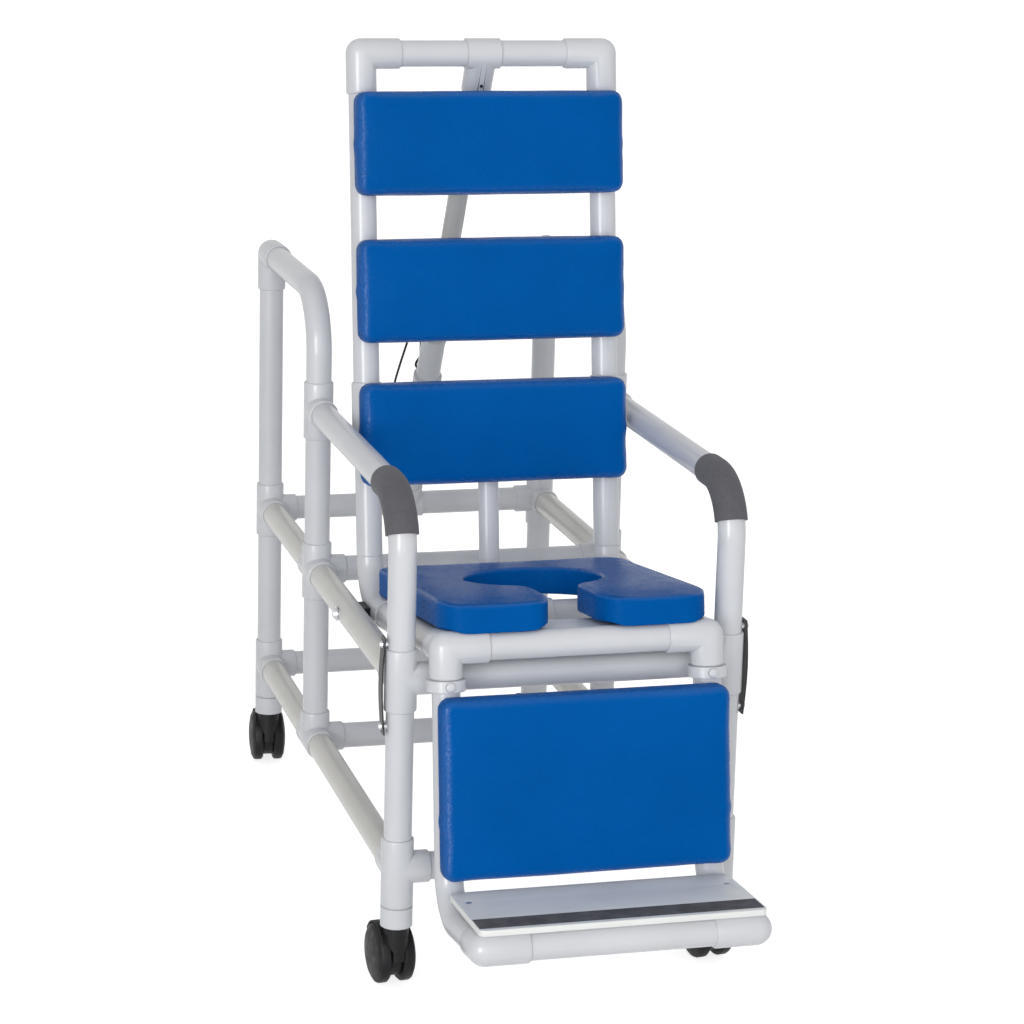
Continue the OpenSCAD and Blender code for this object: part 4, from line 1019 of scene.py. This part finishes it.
class SHOWERCHAIR_OT_stage(bpy.types.Operator):
    """Sets the pale floor, the soft studio light and the camera"""

    bl_idname = "showerchair.stage"
    bl_label = "Set stage"

    def execute(self, context):
        scene = context.scene
        rules = scene.shower_chair_stage
        bm = bmesh.new()
        bmesh.ops.create_grid(bm, x_segments=1, y_segments=1, size=30.0)
        data = bpy.data.meshes.new("floor")
        bm.to_mesh(data)
        bm.free()
        floor = bpy.data.objects.new("floor", data)
        scene.collection.objects.link(floor)
        floor.data.materials.append(floor_finish("pale floor", rules.floor_shade))
        self.lamp(scene, "key lamp", (-5.4, -6.2, 1.7), (0.0, 0.0, 0.9), (0.5, 3.4), rules.key_power)
        self.lamp(scene, "front lamp", (-2.6, -8.6, 2.7), (0.0, 0.0, 0.6), (8.6, 5.0), rules.fill_power)
        self.lamp(scene, "side lamp", (5.6, -5.2, 1.9), (0.0, 0.0, 0.6), (4.6, 4.6), rules.side_power)
        self.lamp(scene, "top lamp", (0.3, -0.9, 5.0), (0.0, 0.0, 0.5), (4.6, 4.6), rules.top_power)
        streak = self.lamp(
            scene, "streak lamp", (-5.2, -5.7, 1.8), (0.0, 0.0, 0.8), (2.4, 3.2), rules.streak_power)
        streak.visible_diffuse = False
        self.air(scene, rules.air_light)
        self.camera(scene)
        scene.view_settings.view_transform = "Standard"
        return {"FINISHED"}

    @staticmethod
    def lamp(scene, name, place, target, size, power):
        """A soft rectangular lamp that points at a target."""
        data = bpy.data.lights.new(name, "AREA")
        data.shape = "RECTANGLE"
        data.size, data.size_y = size
        data.energy = power
        lamp = bpy.data.objects.new(name, data)
        scene.collection.objects.link(lamp)
        lamp.location = place
        lamp.rotation_euler = (Vector(target) - Vector(place)).to_track_quat("-Z", "Y").to_euler()
        return lamp

    @staticmethod
    def air(scene, strength):
        """Even light from all round, in front of a white background."""
        world = bpy.data.worlds.new("studio air")
        world.use_nodes = True
        tree = world.node_tree
        sky = tree.nodes["Background"]
        sky.inputs["Color"].default_value = (1, 1, 1, 1)
        level = tree.nodes.new("ShaderNodeMapRange")
        level.inputs["To Min"].default_value = strength
        level.inputs["To Max"].default_value = 1.0
        tree.links.new(rays_that_look(tree), level.inputs["Value"])
        tree.links.new(level.outputs["Result"], sky.inputs["Strength"])
        scene.world = world

    @staticmethod
    def camera(scene):
        """A long lens a little to the chair's right, looking down on it."""
        place = Vector((-1.2014, -4.38356, 1.7719))
        yaw, pitch, roll = -0.25193, 0.22627, 0.02193
        flat = math.cos(pitch)
        ahead = Vector((-math.sin(yaw) * flat, math.cos(yaw) * flat, -math.sin(pitch)))
        level = Vector((math.cos(yaw), math.sin(yaw), 0.0))
        above = level.cross(ahead)
        across = math.cos(roll) * level + math.sin(roll) * above
        top = -math.sin(roll) * level + math.cos(roll) * above
        data = bpy.data.cameras.new("camera")
        data.sensor_width = 36.0
        data.lens = 102.46
        data.shift_x = 0.0531
        data.shift_y = -0.0578
        data.clip_end = 100.0
        camera = bpy.data.objects.new("camera", data)
        scene.collection.objects.link(camera)
        turned = Matrix((across, top, -ahead)).transposed().to_4x4()
        camera.matrix_world = Matrix.Translation(place) @ turned
        scene.camera = camera


class SHOWERCHAIR_PT_panel(bpy.types.Panel):
    """Lists the steps that dress the chair"""

    bl_idname = "SHOWERCHAIR_PT_panel"
    bl_label = "Shower chair"
    bl_space_type = "VIEW_3D"
    bl_region_type = "UI"
    bl_category = "Chair"

    def draw(self, context):
        column = self.layout.column()
        for step in STEPS:
            column.operator(step.bl_idname)
        for group in ("shower_chair_stage", "shower_chair_finish", "shower_chair_pads"):
            settings = getattr(context.scene, group)
            box = self.layout.box()
            for name in settings.__annotations__:
                box.prop(settings, name)


STEPS = (
    SHOWERCHAIR_OT_finishes,
    SHOWERCHAIR_OT_stage,
    SHOWERCHAIR_OT_pipework,
    SHOWERCHAIR_OT_casters,
    SHOWERCHAIR_OT_small_parts,
    SHOWERCHAIR_OT_release_cable,
    SHOWERCHAIR_OT_back_pads,
    SHOWERCHAIR_OT_seat_cushion,
)
SETTINGS = (
    ("shower_chair_stage", ShowerChairStage),
    ("shower_chair_finish", ShowerChairFinish),
    ("shower_chair_pads", ShowerChairPads),
)


def register():
    for name, kind in SETTINGS:
        bpy.utils.register_class(kind)
        setattr(bpy.types.Scene, name, PointerProperty(type=kind))
    for step in STEPS:
        bpy.utils.register_class(step)
    bpy.utils.register_class(SHOWERCHAIR_PT_panel)


def unregister():
    bpy.utils.unregister_class(SHOWERCHAIR_PT_panel)
    for step in reversed(STEPS):
        bpy.utils.unregister_class(step)
    for name, kind in reversed(SETTINGS):
        delattr(bpy.types.Scene, name)
        bpy.utils.unregister_class(kind)


def main():
    register()
    bpy.ops.showerchair.finishes()
    bpy.ops.showerchair.stage()
    bpy.ops.showerchair.pipework()
    bpy.ops.showerchair.casters()
    bpy.ops.showerchair.small_parts()
    bpy.ops.showerchair.release_cable()
    bpy.ops.showerchair.back_pads()
    bpy.ops.showerchair.seat_cushion()


if __name__ == "__main__":
    main()
